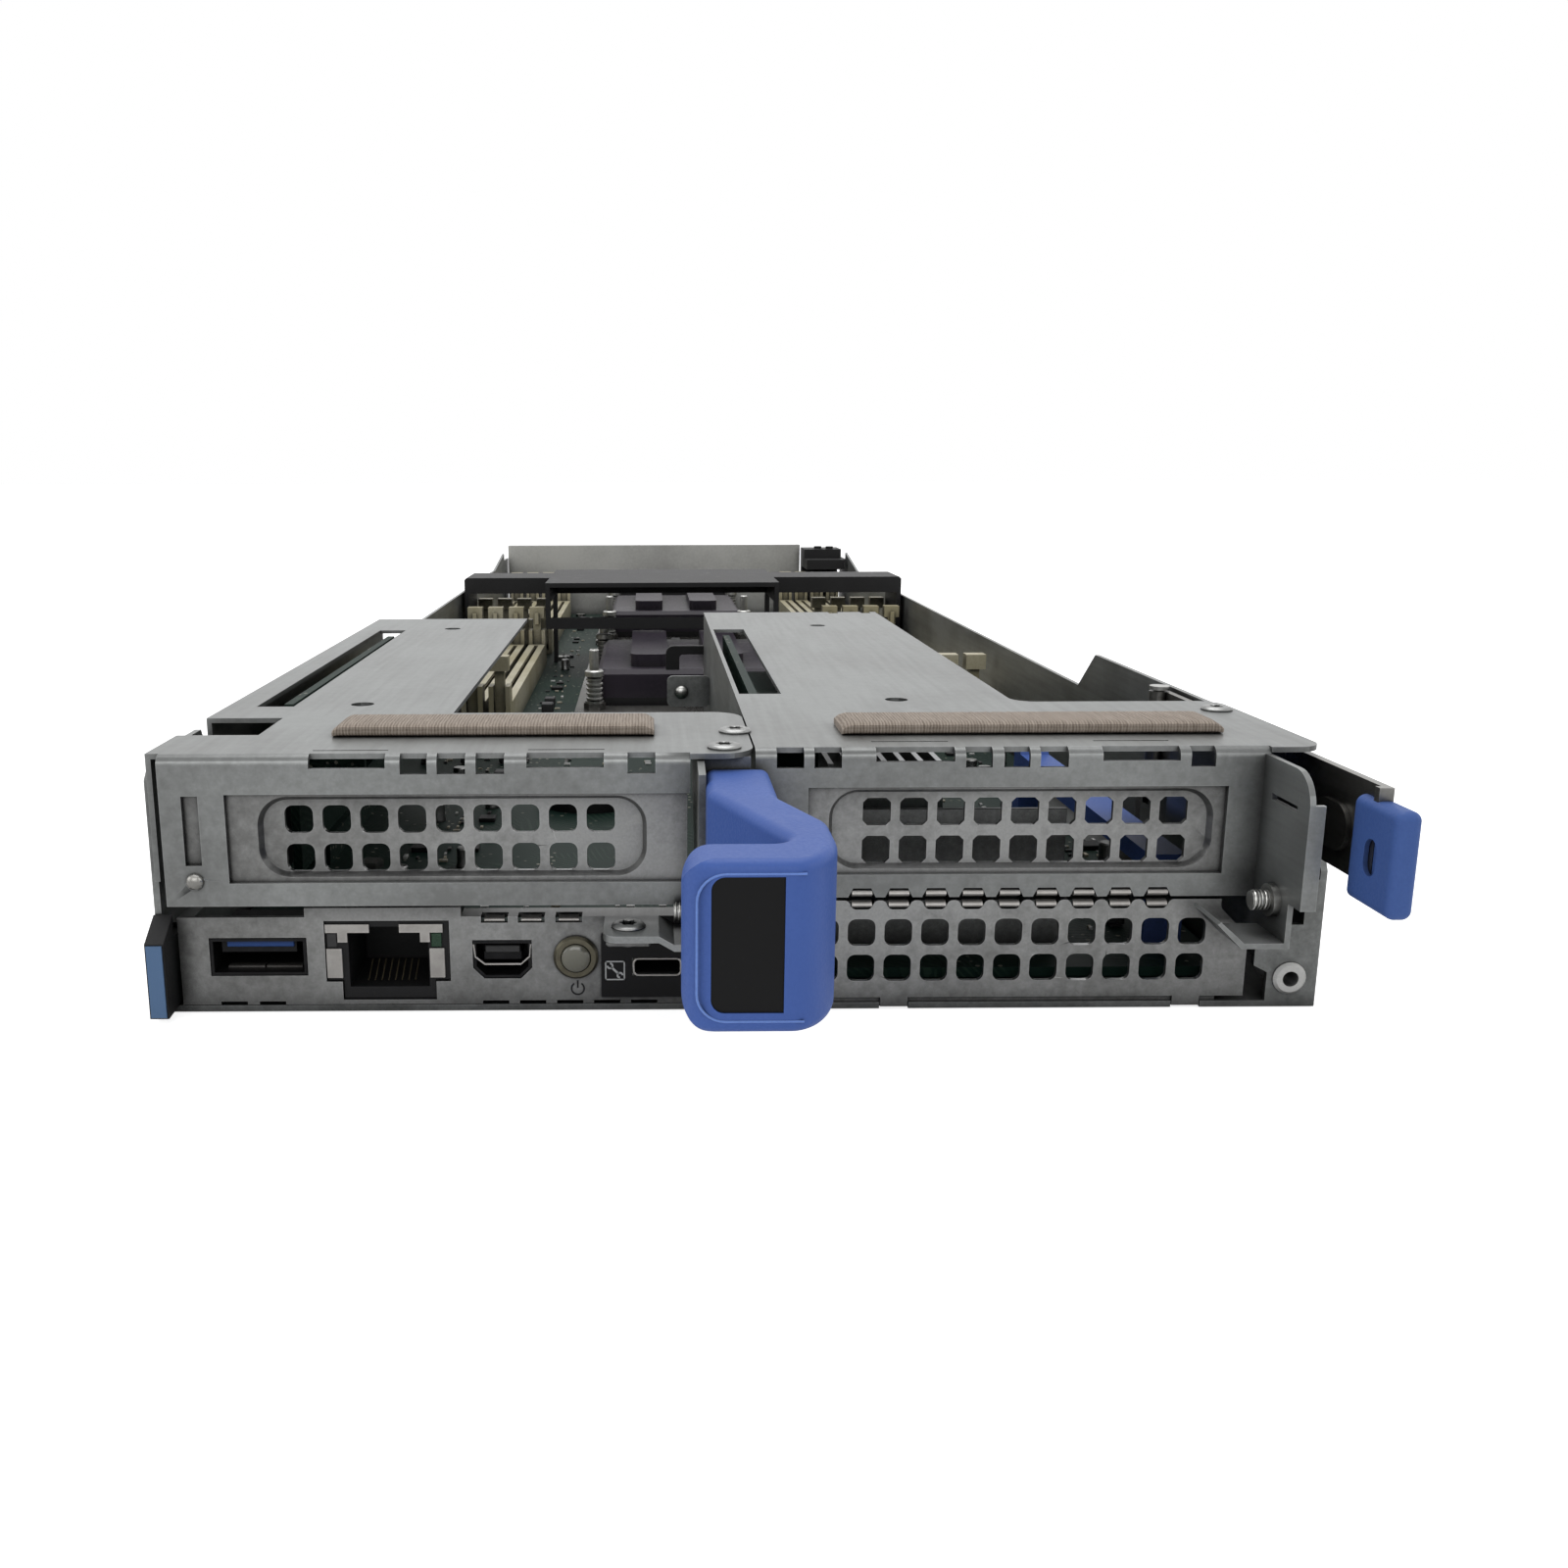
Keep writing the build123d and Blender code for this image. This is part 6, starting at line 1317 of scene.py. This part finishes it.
    def _display(self) -> None:
        """Adds the display port's bright rim and its dark tongue."""
        rim = Mesher().wire([(x, self.display_y, z) for x, z in self.display_rim], self.rim_wire)
        self.workshop.piece("display_rim", rim, SATIN, "port_shell")
        tongue = Mesher().slab(*self.display_tongue, 0.15)
        self.workshop.piece("display_tongue", tongue, LIGHT_GREY, "black_plastic")

    def _service(self) -> None:
        """Adds the small port's rim and the spanner sign."""
        outline = rounded(*self.service_rim, self.service_corner, 5)
        rim = Mesher().wire([(x, self.service_y, z) for x, z in outline + outline[:2]], self.rim_wire)
        self.workshop.piece("service_rim", rim, SATIN, "port_shell")
        sign = Mesher()
        (x0, z0), (x1, z1), line = self.sign_low, self.sign_high, self.sign_line
        for low, high in (
            ((x0, z0), (x1, z0 + line)), ((x0, z1 - line), (x1, z1)),
            ((x0, z0), (x0 + line, z1)), ((x1 - line, z0), (x1, z1)),
        ):
            sign.slab((low[0], self.sign_y[0], low[1]), (high[0], self.sign_y[1], high[1]))
        tilt, half, reach = math.radians(self.spanner_tilt), self.spanner_half, self.spanner_reach
        middle = ((x0 + x1) / 2, (z0 + z1) / 2)

        def turned(point: Pair) -> Pair:
            """Turns a point of the sign about its middle."""
            return (
                middle[0] + point[0] * math.cos(tilt) - point[1] * math.sin(tilt),
                middle[1] + point[0] * math.sin(tilt) + point[1] * math.cos(tilt),
            )

        outlines = [[(-0.75, -half), (0.75, -half), (0.75, half), (-0.75, half)]]
        for centre, mouth in ((-reach, 180.0), (reach, 0.0)):
            outer = arc((centre, 0.0), 0.52, mouth + 45.0, mouth + 315.0, 12)
            outlines.append(outer + arc((centre, 0.0), 0.24, mouth + 315.0, mouth + 45.0, 12))
        for outline in outlines:
            sign.prism([turned(point) for point in outline], Axis.Y, *self.sign_y)
        self.workshop.piece("service_sign", sign, INK_PALE, "bushing_white")

    def _button(self) -> None:
        """Replaces the button with a domed lens, and draws the power sign below it."""
        x, z = self.button_axis
        foot, height = self.dome_foot, self.dome_height
        rings = [(self.button_radius, 5.0), (self.button_radius, foot)]
        for step in range(1, 8):
            angle = math.radians(90.0 * step / 8)
            rings.append((self.button_radius * math.cos(angle), foot - height * math.sin(angle)))
        rings.append((0.12, foot - height - 0.01))
        dome = Mesher().turn(rings, (x, 0.0, z), Axis.Y, 32)
        made = self.workshop.piece("button_dome", dome, BUTTON_GREY, "button_grey", Body.BUTTON)
        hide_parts("power_button")
        x, z = self.power_centre
        radius, line, (near, far) = self.power_radius, self.power_line, self.power_y
        outer = arc((x, z), radius + line, 125.0, 415.0, 24)
        inner = arc((x, z), radius - line, 415.0, 125.0, 24)
        sign = Mesher().prism(outer + inner, Axis.Y, near, far)
        sign.slab((x - line, near, z + 0.1), (x + line, far, z + 1.3))
        self.workshop.piece("power_sign", sign, INK_DARK, "label_black")


@dataclass
class Fasteners:
    """Screw heads with lobed recesses, threads and the posts on the bolsters."""

    workshop: Workshop
    head_radius: float = 2.5
    head_height: float = 0.7
    cover_top: float = 40.2
    cover_places: tuple[Pair, ...] = ((84.7, 1.2), (87.0, 13.4), (168.8, 31.0))
    foot_place: Point = (70.6, -5.0, 14.9)
    thread_pitch: float = 0.5
    thread_radius: float = 1.36
    post_places: tuple[Pair, ...] = tuple(
        (x, y) for y in (224.0, 318.0, 400.0, 494.0) for x in (57.0, 115.0)
    )
    bolster_top: float = 9.0

    def build(self) -> None:
        """Adds every fastener."""
        heads = Mesher().turn(self._head_rings(-1.45), ORIGIN, Axis.Z, 48)
        places = [(x, y, self.cover_top) for x, y in self.cover_places]
        made = self.workshop.repeated("cover_screw_heads", heads, places, DULL_SCREW, "screw_steel")
        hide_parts("cover_screws")
        foot = Mesher().turn(self._head_rings(-2.6), self.foot_place, Axis.Z, 48)
        x, y, z = self.foot_place
        foot.slab((x - 3.2, y - 3.2, z - 2.0), (x + 3.2, y + 3.2, z - 1.0), 0.3)
        made = self.workshop.piece("foot_screw", foot, DULL_SCREW, "screw_steel")
        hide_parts("bracket_screw")
        for name, start, turns in (
            ("left_thread", (77.3, -4.7, 17.0), 6.4),
            ("right_thread", (160.35, -6.6, 19.1), 7.6),
        ):
            pitch, radius = self.thread_pitch, self.thread_radius
            self.workshop.thread(name, start, turns, pitch, radius, SCREW, "screw_steel")
        places = [(x, y, self.bolster_top) for x, y in self.post_places]
        self.workshop.repeated("bolster_posts", self._post(), places, SCREW, "screw_steel")

    def _head_rings(self, shank: float) -> Profile:
        """Returns the rings of a low round head with a lobed recess.

        Args:
            shank: offset of the shank's end from the seat.

        Returns:
            Radius and height of each ring, and its lobe depth where it has lobes.
        """
        top = self.head_height
        return [
            (1.4, shank), (1.4, 0.0), (self.head_radius, 0.01), (self.head_radius, 0.25), (2.3, 0.5),
            (1.9, top - 0.04), (1.45, top), (1.2, top, 0.12), (1.08, top - 0.1, 0.16), (1.0, 0.12, 0.16),
            (0.3, 0.1),
        ]

    def _post(self) -> Mesher:
        """Draws a sprung captive nut: coils, a collar and a driven top.

        Returns:
            The nut's shape round its own foot.
        """
        rings = [(2.9, 0.0), (2.9, 0.6)]
        for coil in range(5):
            low = 0.6 + coil * 1.5
            rings += [(2.2, low + 0.2), (2.6, low + 0.5), (2.6, low + 1.0), (2.2, low + 1.3)]
        rings += [(2.9, 8.3), (2.9, 9.8), (2.5, 10.2), (1.5, 10.3), (1.5, 16.2)]
        rings += [(1.2, 16.6), (0.8, 16.6, 0.12), (0.7, 15.4, 0.12), (0.2, 15.4)]
        return Mesher().turn(rings, ORIGIN, Axis.Z, 18)


@dataclass
class Gaskets:
    """The two woven conductive strips on the riser covers."""

    workshop: Workshop
    strips: tuple[tuple[str, float, float], ...] = (
        ("left_gasket", 25.4, 74.5),
        ("right_gasket", 103.2, 161.4),
    )
    front: float = 9.95
    rear: float = 20.25
    seat: float = 40.2
    top: float = 42.2
    pinch: float = 1.6

    def build(self) -> None:
        """Adds each strip as a crowned pad with pinched ends."""
        for node, start, end in self.strips:
            made = self.workshop.piece(node + "_cloth", self._strip(start, end), FABRIC, "gasket_fabric")
            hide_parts(node)

    def _strip(self, start: float, end: float) -> Mesher:
        """Returns one strip, a closed form that is flat where it is stuck down.

        Args:
            start: left end.
            end: right end.

        Returns:
            The strip's shape.
        """
        rings = []
        stations = max(40, int((end - start) / 0.6))
        middle = (self.rear + self.front) / 2
        for step in range(stations + 1):
            x = start + (end - start) * step / stations
            near = min(x - start, end - x)
            squeeze = 1.0 if near > self.pinch else 0.55 + 0.45 * math.sin(math.pi / 2 * near / self.pinch)
            ripple = 0.03 * math.sin(x * 5.1) + 0.02 * math.sin(x * 13.7)
            half = (self.rear - self.front) / 2 - 0.1 * (1.0 - squeeze)
            height = (self.top - self.seat) * squeeze
            ring = []
            for corner in range(20):
                angle = math.tau * corner / 20
                side = math.copysign(abs(math.cos(angle)) ** 0.35, math.cos(angle))
                rise = 0.5 + 0.5 * math.copysign(abs(math.sin(angle)) ** 0.5, math.sin(angle))
                ring.append((x, middle + side * half, max(self.seat + (height + ripple) * rise, self.seat)))
            rings.append(ring)
        return Mesher().skin(rings)


@dataclass
class HandleTrim:
    """The raised line that follows the pull handle's front plate."""

    workshop: Workshop
    face: float = -49.3
    left: float = 78.95
    right: float = 91.2
    low: float = 18.75
    high: float = 36.2
    corner: float = 3.3
    wire: float = 0.16

    def build(self) -> None:
        """Adds the bead round the label."""
        path = [(self.right, self.high)]
        path += arc((self.left + self.corner, self.high - self.corner), self.corner, 90.0, 180.0, 8)
        path += arc((self.left + self.corner, self.low + self.corner), self.corner, 180.0, 270.0, 8)
        path += [(self.right, self.low)]
        bead = Mesher().wire([(x, self.face + 0.04, z) for x, z in path], self.wire)
        # The bead's lighter blue is a painted highlight.
        self.workshop.piece("handle_bead", bead, HIGHLIGHT_BLUE, "handle_blue")


@dataclass
class BoardParts:
    """Small parts soldered to the board and the riser cards, and the memory contacts."""

    workshop: Workshop
    board_top: float = 5.0
    zones: tuple[tuple[float, float, float, float], ...] = (
        (38.0, 48.0, 178.0, 505.0), (50.0, 122.0, 178.0, 216.0), (50.0, 122.0, 327.0, 392.0),
        (124.0, 136.0, 178.0, 505.0), (12.0, 86.0, 24.0, 44.0), (12.0, 84.0, 150.0, 176.0),
        (96.0, 168.0, 20.0, 95.0), (66.0, 90.0, 46.0, 90.0), (140.0, 168.0, 100.0, 180.0),
        (24.0, 44.0, 44.0, 150.0), (98.0, 138.0, 150.0, 176.0),
    )
    sockets_x: tuple[float, ...] = tuple(bank + (k - 1.5) * 7.9 for bank in (19.1, 155.2) for k in range(4))
    socket_fronts: tuple[float, ...] = (203.0, 376.5)
    socket_pins: int = 116
    pin_pitch: float = 1.06
    pin_foot: float = 10.4
    cell: tuple[float, float, float] = (2.6, 2.9, 0.4)
    small_turns: float = 3.0
    riser_faces: Pair = (8.8, 92.2)
    riser_pitch: float = 4.3

    def build(self) -> None:
        """Scatters the small parts and lines the sockets with contacts."""
        draw = random.Random(11)
        small, chips, cans, chokes = [], [], [], []
        width, depth, jitter = self.cell
        for x0, x1, y0, y1 in self.zones:
            for column in range(int((x1 - x0) / width)):
                for row in range(int((y1 - y0) / depth)):
                    x = x0 + width / 2 + column * width + draw.uniform(-jitter, jitter)
                    y = y0 + depth / 2 + row * depth + draw.uniform(-jitter, jitter)
                    pick = draw.random()
                    if (column % 4, row % 4) == (1, 1) and pick < 0.55:
                        target = chips if pick < 0.34 else (cans if pick < 0.44 else chokes)
                        target.append((x, y, self.board_top))
                    elif 3 in (column % 4, row % 4) and pick < 0.62:
                        small.append((x, y, self.board_top))
        chip = Mesher().slab((-1.9, -1.9, 0.0), (1.9, 1.9, 1.0), 0.12)
        part = Mesher().slab((-0.55, -0.32, 0.0), (0.55, 0.32, 0.5), 0.06)
        part.slab((-0.78, -0.34, 0.0), (-0.5, 0.34, 0.46)).slab((0.5, -0.34, 0.0), (0.78, 0.34, 0.46))
        rings = [(1.75, 0.0), (1.75, 0.5), (1.6, 0.8), (1.6, 4.0), (1.4, 4.3), (0.3, 4.35)]
        can = Mesher().turn(rings, ORIGIN, Axis.Z, 16)
        choke = Mesher().slab((-1.8, -1.8, 0.3), (1.8, 1.8, 3.2), 0.3)
        choke.slab((-1.2, -1.9, 0.0), (1.2, 1.9, 0.5))
        for name, shape, places, finish, slot, spread, seed in (
            ("board_chips", chip, chips, BLACK, "black_plastic", (0.6, 1.1), 4),
            ("board_small_parts", part, small, PARTS, "board_green", (0.6, 1.15), 5),
            ("board_cans", can, cans, DULL_SCREW, "heat_sink", (0.8, 1.05), 6),
            ("board_chokes", choke, chokes, CHOKE, "black_plastic", (0.8, 1.1), 7),
        ):
            turns = self.small_turns if shape is part else 0.0
            self.workshop.repeated(name, shape, places, finish, slot, spread=spread, quarter=turns, seed=seed)
        self._contacts()
        self._riser_parts(draw)

    def _contacts(self) -> None:
        """Adds two rows of sprung contacts inside each memory socket."""
        pin = Mesher().slab((-0.14, -0.2, 0.0), (0.14, 0.2, 2.6), 0.05)
        rows = [(x, front) for x in self.sockets_x for front in self.socket_fronts]
        starts = [(x + side, front, self.pin_foot) for x, front in rows for side in (-0.62, 0.62)]
        self.workshop.repeated(
            "memory_contacts", pin, starts, GOLD, "screw_steel",
            count=self.socket_pins, step=(0.0, self.pin_pitch, 0.0),
        )

    def _riser_parts(self, draw: random.Random) -> None:
        """Adds chips to the left face of each riser card.

        Args:
            draw: the source of random numbers that the board's parts were drawn from.
        """
        places: list[Point] = []
        for face in self.riser_faces:
            for column in range(22):
                for row in range(6):
                    if draw.random() < 0.55:
                        y = 50.0 + column * self.riser_pitch + draw.uniform(-0.8, 0.8)
                        places.append((face, y, 12.5 + row * self.riser_pitch))
        chip = Mesher().slab((-0.75, -1.0, -0.8), (0.0, 1.0, 0.8), 0.1)
        self.workshop.repeated("riser_parts", chip, places, PARTS, "board_green", spread=(0.6, 1.3), seed=9)


@dataclass
class InnerBrackets:
    """The riveted steel tab and the hooked black bracket on the right cover's inner wall."""

    workshop: Workshop
    wall: float = 89.35
    tab_y: float = 150.0
    tab_thick: float = 0.8
    hook_y: float = 190.0
    hook_thick: float = 1.6
    dimple: Point = (7.4, -3.0, 21.4)
    shield: tuple[Point, Point] = ((103.5, 14.0, 5.0), (139.5, 14.8, 27.6))
    finger_depth: float = 0.7
    finger_height: float = 1.28
    blank_fingers: Pair = (105.3, 5.5)
    blank_levels: Pair = (15.78, 17.55)
    panel_fingers: tuple[float, ...] = (50.5, 56.0, 61.6)
    panel_level: float = 13.6

    def build(self) -> None:
        """Adds the tab with its rivet, then the hook."""
        outline = rounded((78.4, 20.4), (self.wall, 28.3), 1.4)
        tab = Mesher().prism(outline, Axis.Y, self.tab_y, self.tab_y + self.tab_thick)
        self.workshop.piece("wall_tab", tab, GALVANISED, "galvanised")
        rings = [(1.7, 0.0), (1.7, -0.35), (1.45, -0.75), (1.0, -1.05), (0.45, -1.2), (0.1, -1.22)]
        rivet = Mesher().turn(rings, (82.0, self.tab_y, 24.2), Axis.Y, 20)
        self.workshop.piece("wall_tab_rivet", rivet, SCREW, "screw_steel")
        outer = [(78.6, 24.0), (78.6, 28.6)] + arc((80.8, 28.6), 2.2, 180.0, 90.0, 5)
        outer += [(self.wall, 30.8), (self.wall, 28.4)]
        inner = [(83.4, 28.4)] + arc((83.4, 27.4), 1.0, 90.0, 180.0, 4) + [(82.4, 24.0)]
        hook = Mesher().prism(outer + inner, Axis.Y, self.hook_y, self.hook_y + self.hook_thick)
        self.workshop.piece("wall_hook", hook, BLACK, "black_plastic")
        dome = [(1.35, 0.1), (1.3, -0.25), (1.1, -0.6), (0.75, -0.85), (0.35, -0.98), (0.1, -1.0)]
        dimple = Mesher().turn(dome, self.dimple, Axis.Y, 24)
        self.workshop.piece("flange_dimple", dimple, BARE_STEEL, "galvanised")
        shield = Mesher().slab(*self.shield, 0.1)
        self.workshop.piece("bay_shield", shield, GALVANISED, "galvanised")
        self._fingers()

    def _fingers(self) -> None:
        """Adds the rolled contact fingers that fill the notches of the panels."""
        height = self.finger_height
        roll = [(0.55, 0.0)]
        for step in range(1, 8):
            roll.append((0.45 - self.finger_depth * math.sin(math.pi * step / 8), height * step / 8))
        stamp = Mesher().prism(roll + [(0.55, height)], Axis.X, -1.5, 1.5)
        start, pitch = self.blank_fingers
        places = [(start + pitch * index, 0.0, level) for index in range(9) for level in self.blank_levels]
        places += [(x, 0.35, self.panel_level) for x in self.panel_fingers]
        self.workshop.repeated("contact_fingers", stamp, places, SATIN, "panel_steel")


@dataclass
class PressedSheets:
    """Closer copies of the pressed blanks and of the left cover, made from the carried-over solids."""

    workshop: Workshop
    frame: dict
    blanks: tuple[str, ...] = ("left_slot_blank", "right_slot_blank", "mezzanine_blank")
    ease: float = 0.42
    corner_ease: float = 0.62
    steps: int = 3
    crease: float = 8.0
    flange_x: Pair = (40.1, 41.1)
    flange_y: Pair = (30.9, 176.1)
    sheet_under: float = 39.4

    def build(self) -> None:
        """Adds the three blanks, then the left cover."""
        for node in self.blanks:
            build = self._copied(node)
            self._ease(build)
            self._finish(build, node, PANEL, "panel_steel")
        build = self._copied("left_riser_cover")
        self._trim(build)
        self._finish(build, "left_riser_cover", COVER, "galvanised")

    def _copied(self, node: str) -> bmesh.types.BMesh:
        """Copies a carried-over solid.

        Args:
            node: the solid's node.

        Returns:
            The copy, with its corners merged.
        """
        build = bmesh.new()
        build.from_mesh(self.frame["nodes"][node].data)
        bmesh.ops.remove_doubles(build, verts=build.verts, dist=1e-6)
        return build

    def _ease(self, build: bmesh.types.BMesh) -> None:
        """Rounds the corners of the holes and the slopes of the pressed panel.

        Args:
            build: the copy of a blank.
        """
        flat = math.radians(1.0)
        bmesh.ops.dissolve_limit(
            build, angle_limit=flat, use_dissolve_boundaries=False, verts=build.verts, edges=build.edges
        )
        low, high = math.radians(20.0), math.radians(75.0)
        for corners, offset in ((True, self.corner_ease), (False, self.ease)):
            inner = [edge for edge in build.edges if len(edge.link_faces) == 2]
            inner = [edge for edge in inner if self._is_corner(edge) == corners]
            bends = [edge for edge in inner if low < edge.calc_face_angle(0.0) < high]
            bmesh.ops.bevel(
                build, geom=bends, offset=offset * MM, segments=self.steps, profile=0.5, affect="EDGES",
                clamp_overlap=True,
            )
        bmesh.ops.triangulate(build, faces=build.faces)

    @staticmethod
    def _is_corner(edge: bmesh.types.BMEdge) -> bool:
        """Tells whether an edge crosses the sheet's thickness, as at a hole's corner."""
        run = edge.verts[1].co - edge.verts[0].co
        return abs(run.y) > 0.9 * run.length

    def _trim(self, build: bmesh.types.BMesh) -> None:
        """Takes off the cover's inner flange, which the real cover doesn't have, and closes the sheet.

        Args:
            build: the copy of the cover.
        """
        low, high = at(self.flange_x[0], self.flange_y[0], 0.0), at(self.flange_x[1], self.flange_y[1], 0.0)
        level = self.sheet_under * MM

        def inside(point: Vector) -> bool:
            """Tells whether a point lies over the flange's footprint."""
            return low.x < point.x < high.x and low.y < point.y < high.y

        near = [face for face in build.faces if inside(face.calc_center_median())]
        geometry = near + list({edge for face in near for edge in face.edges})
        geometry += list({vert for face in near for vert in face.verts})
        bmesh.ops.bisect_plane(
            build, geom=geometry, dist=1e-7, plane_co=(0.0, 0.0, level), plane_no=(0.0, 0.0, 1.0)
        )
        flange = [
            face for face in build.faces
            if inside(face.calc_center_median()) and face.calc_center_median().z < level - 1e-6
        ]
        bmesh.ops.delete(build, geom=flange, context="FACES")
        rims = [edge for edge in build.edges if edge.is_boundary]
        bmesh.ops.holes_fill(build, edges=rims, sides=0)
        bmesh.ops.triangulate(build, faces=build.faces)

    def _finish(self, build: bmesh.types.BMesh, node: str, finish: Finish, slot: str) -> None:
        """Turns a copy into a piece that stands for its node.

        Args:
            build: the copy.
            node: the node that it stands for.
            finish: its finish.
            slot: the record's material slot.
        """
        mesh = bpy.data.meshes.new(node + "_sheet")
        build.to_mesh(mesh)
        build.free()
        mesh.shade_smooth()
        mesh.set_sharp_from_angle(angle=math.radians(self.crease))
        made = self.workshop.piece(node + "_sheet", mesh, finish, slot)
        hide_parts(node)


@dataclass
class Dresser:
    """Gives every carried-over CAD node its finish."""

    frame: dict
    library: FinishLibrary = field(default_factory=FinishLibrary)

    def finish_nodes(self) -> None:
        """Assigns the material of each node's finish."""
        for finish, names in NODE_FINISHES.items():
            material = self.library.material(finish)
            for name in names:
                node = self.frame["nodes"][name]
                node.data.materials.clear()
                node.data.materials.append(material)


def main() -> None:
    """Builds the dressed sled."""
    logging.basicConfig(level=logging.INFO)
    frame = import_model()
    dresser = Dresser(frame)
    dresser.finish_nodes()
    workshop = Workshop(dresser.library)
    for assembly in (PortFittings, Fasteners, Gaskets, HandleTrim, BoardParts, InnerBrackets):
        log.info("building %s", assembly.__name__)
        assembly(workshop).build()
    PressedSheets(workshop, frame).build()
    Studio().build()
    bpy.context.view_layer.update()


if __name__ == "__main__":
    main()
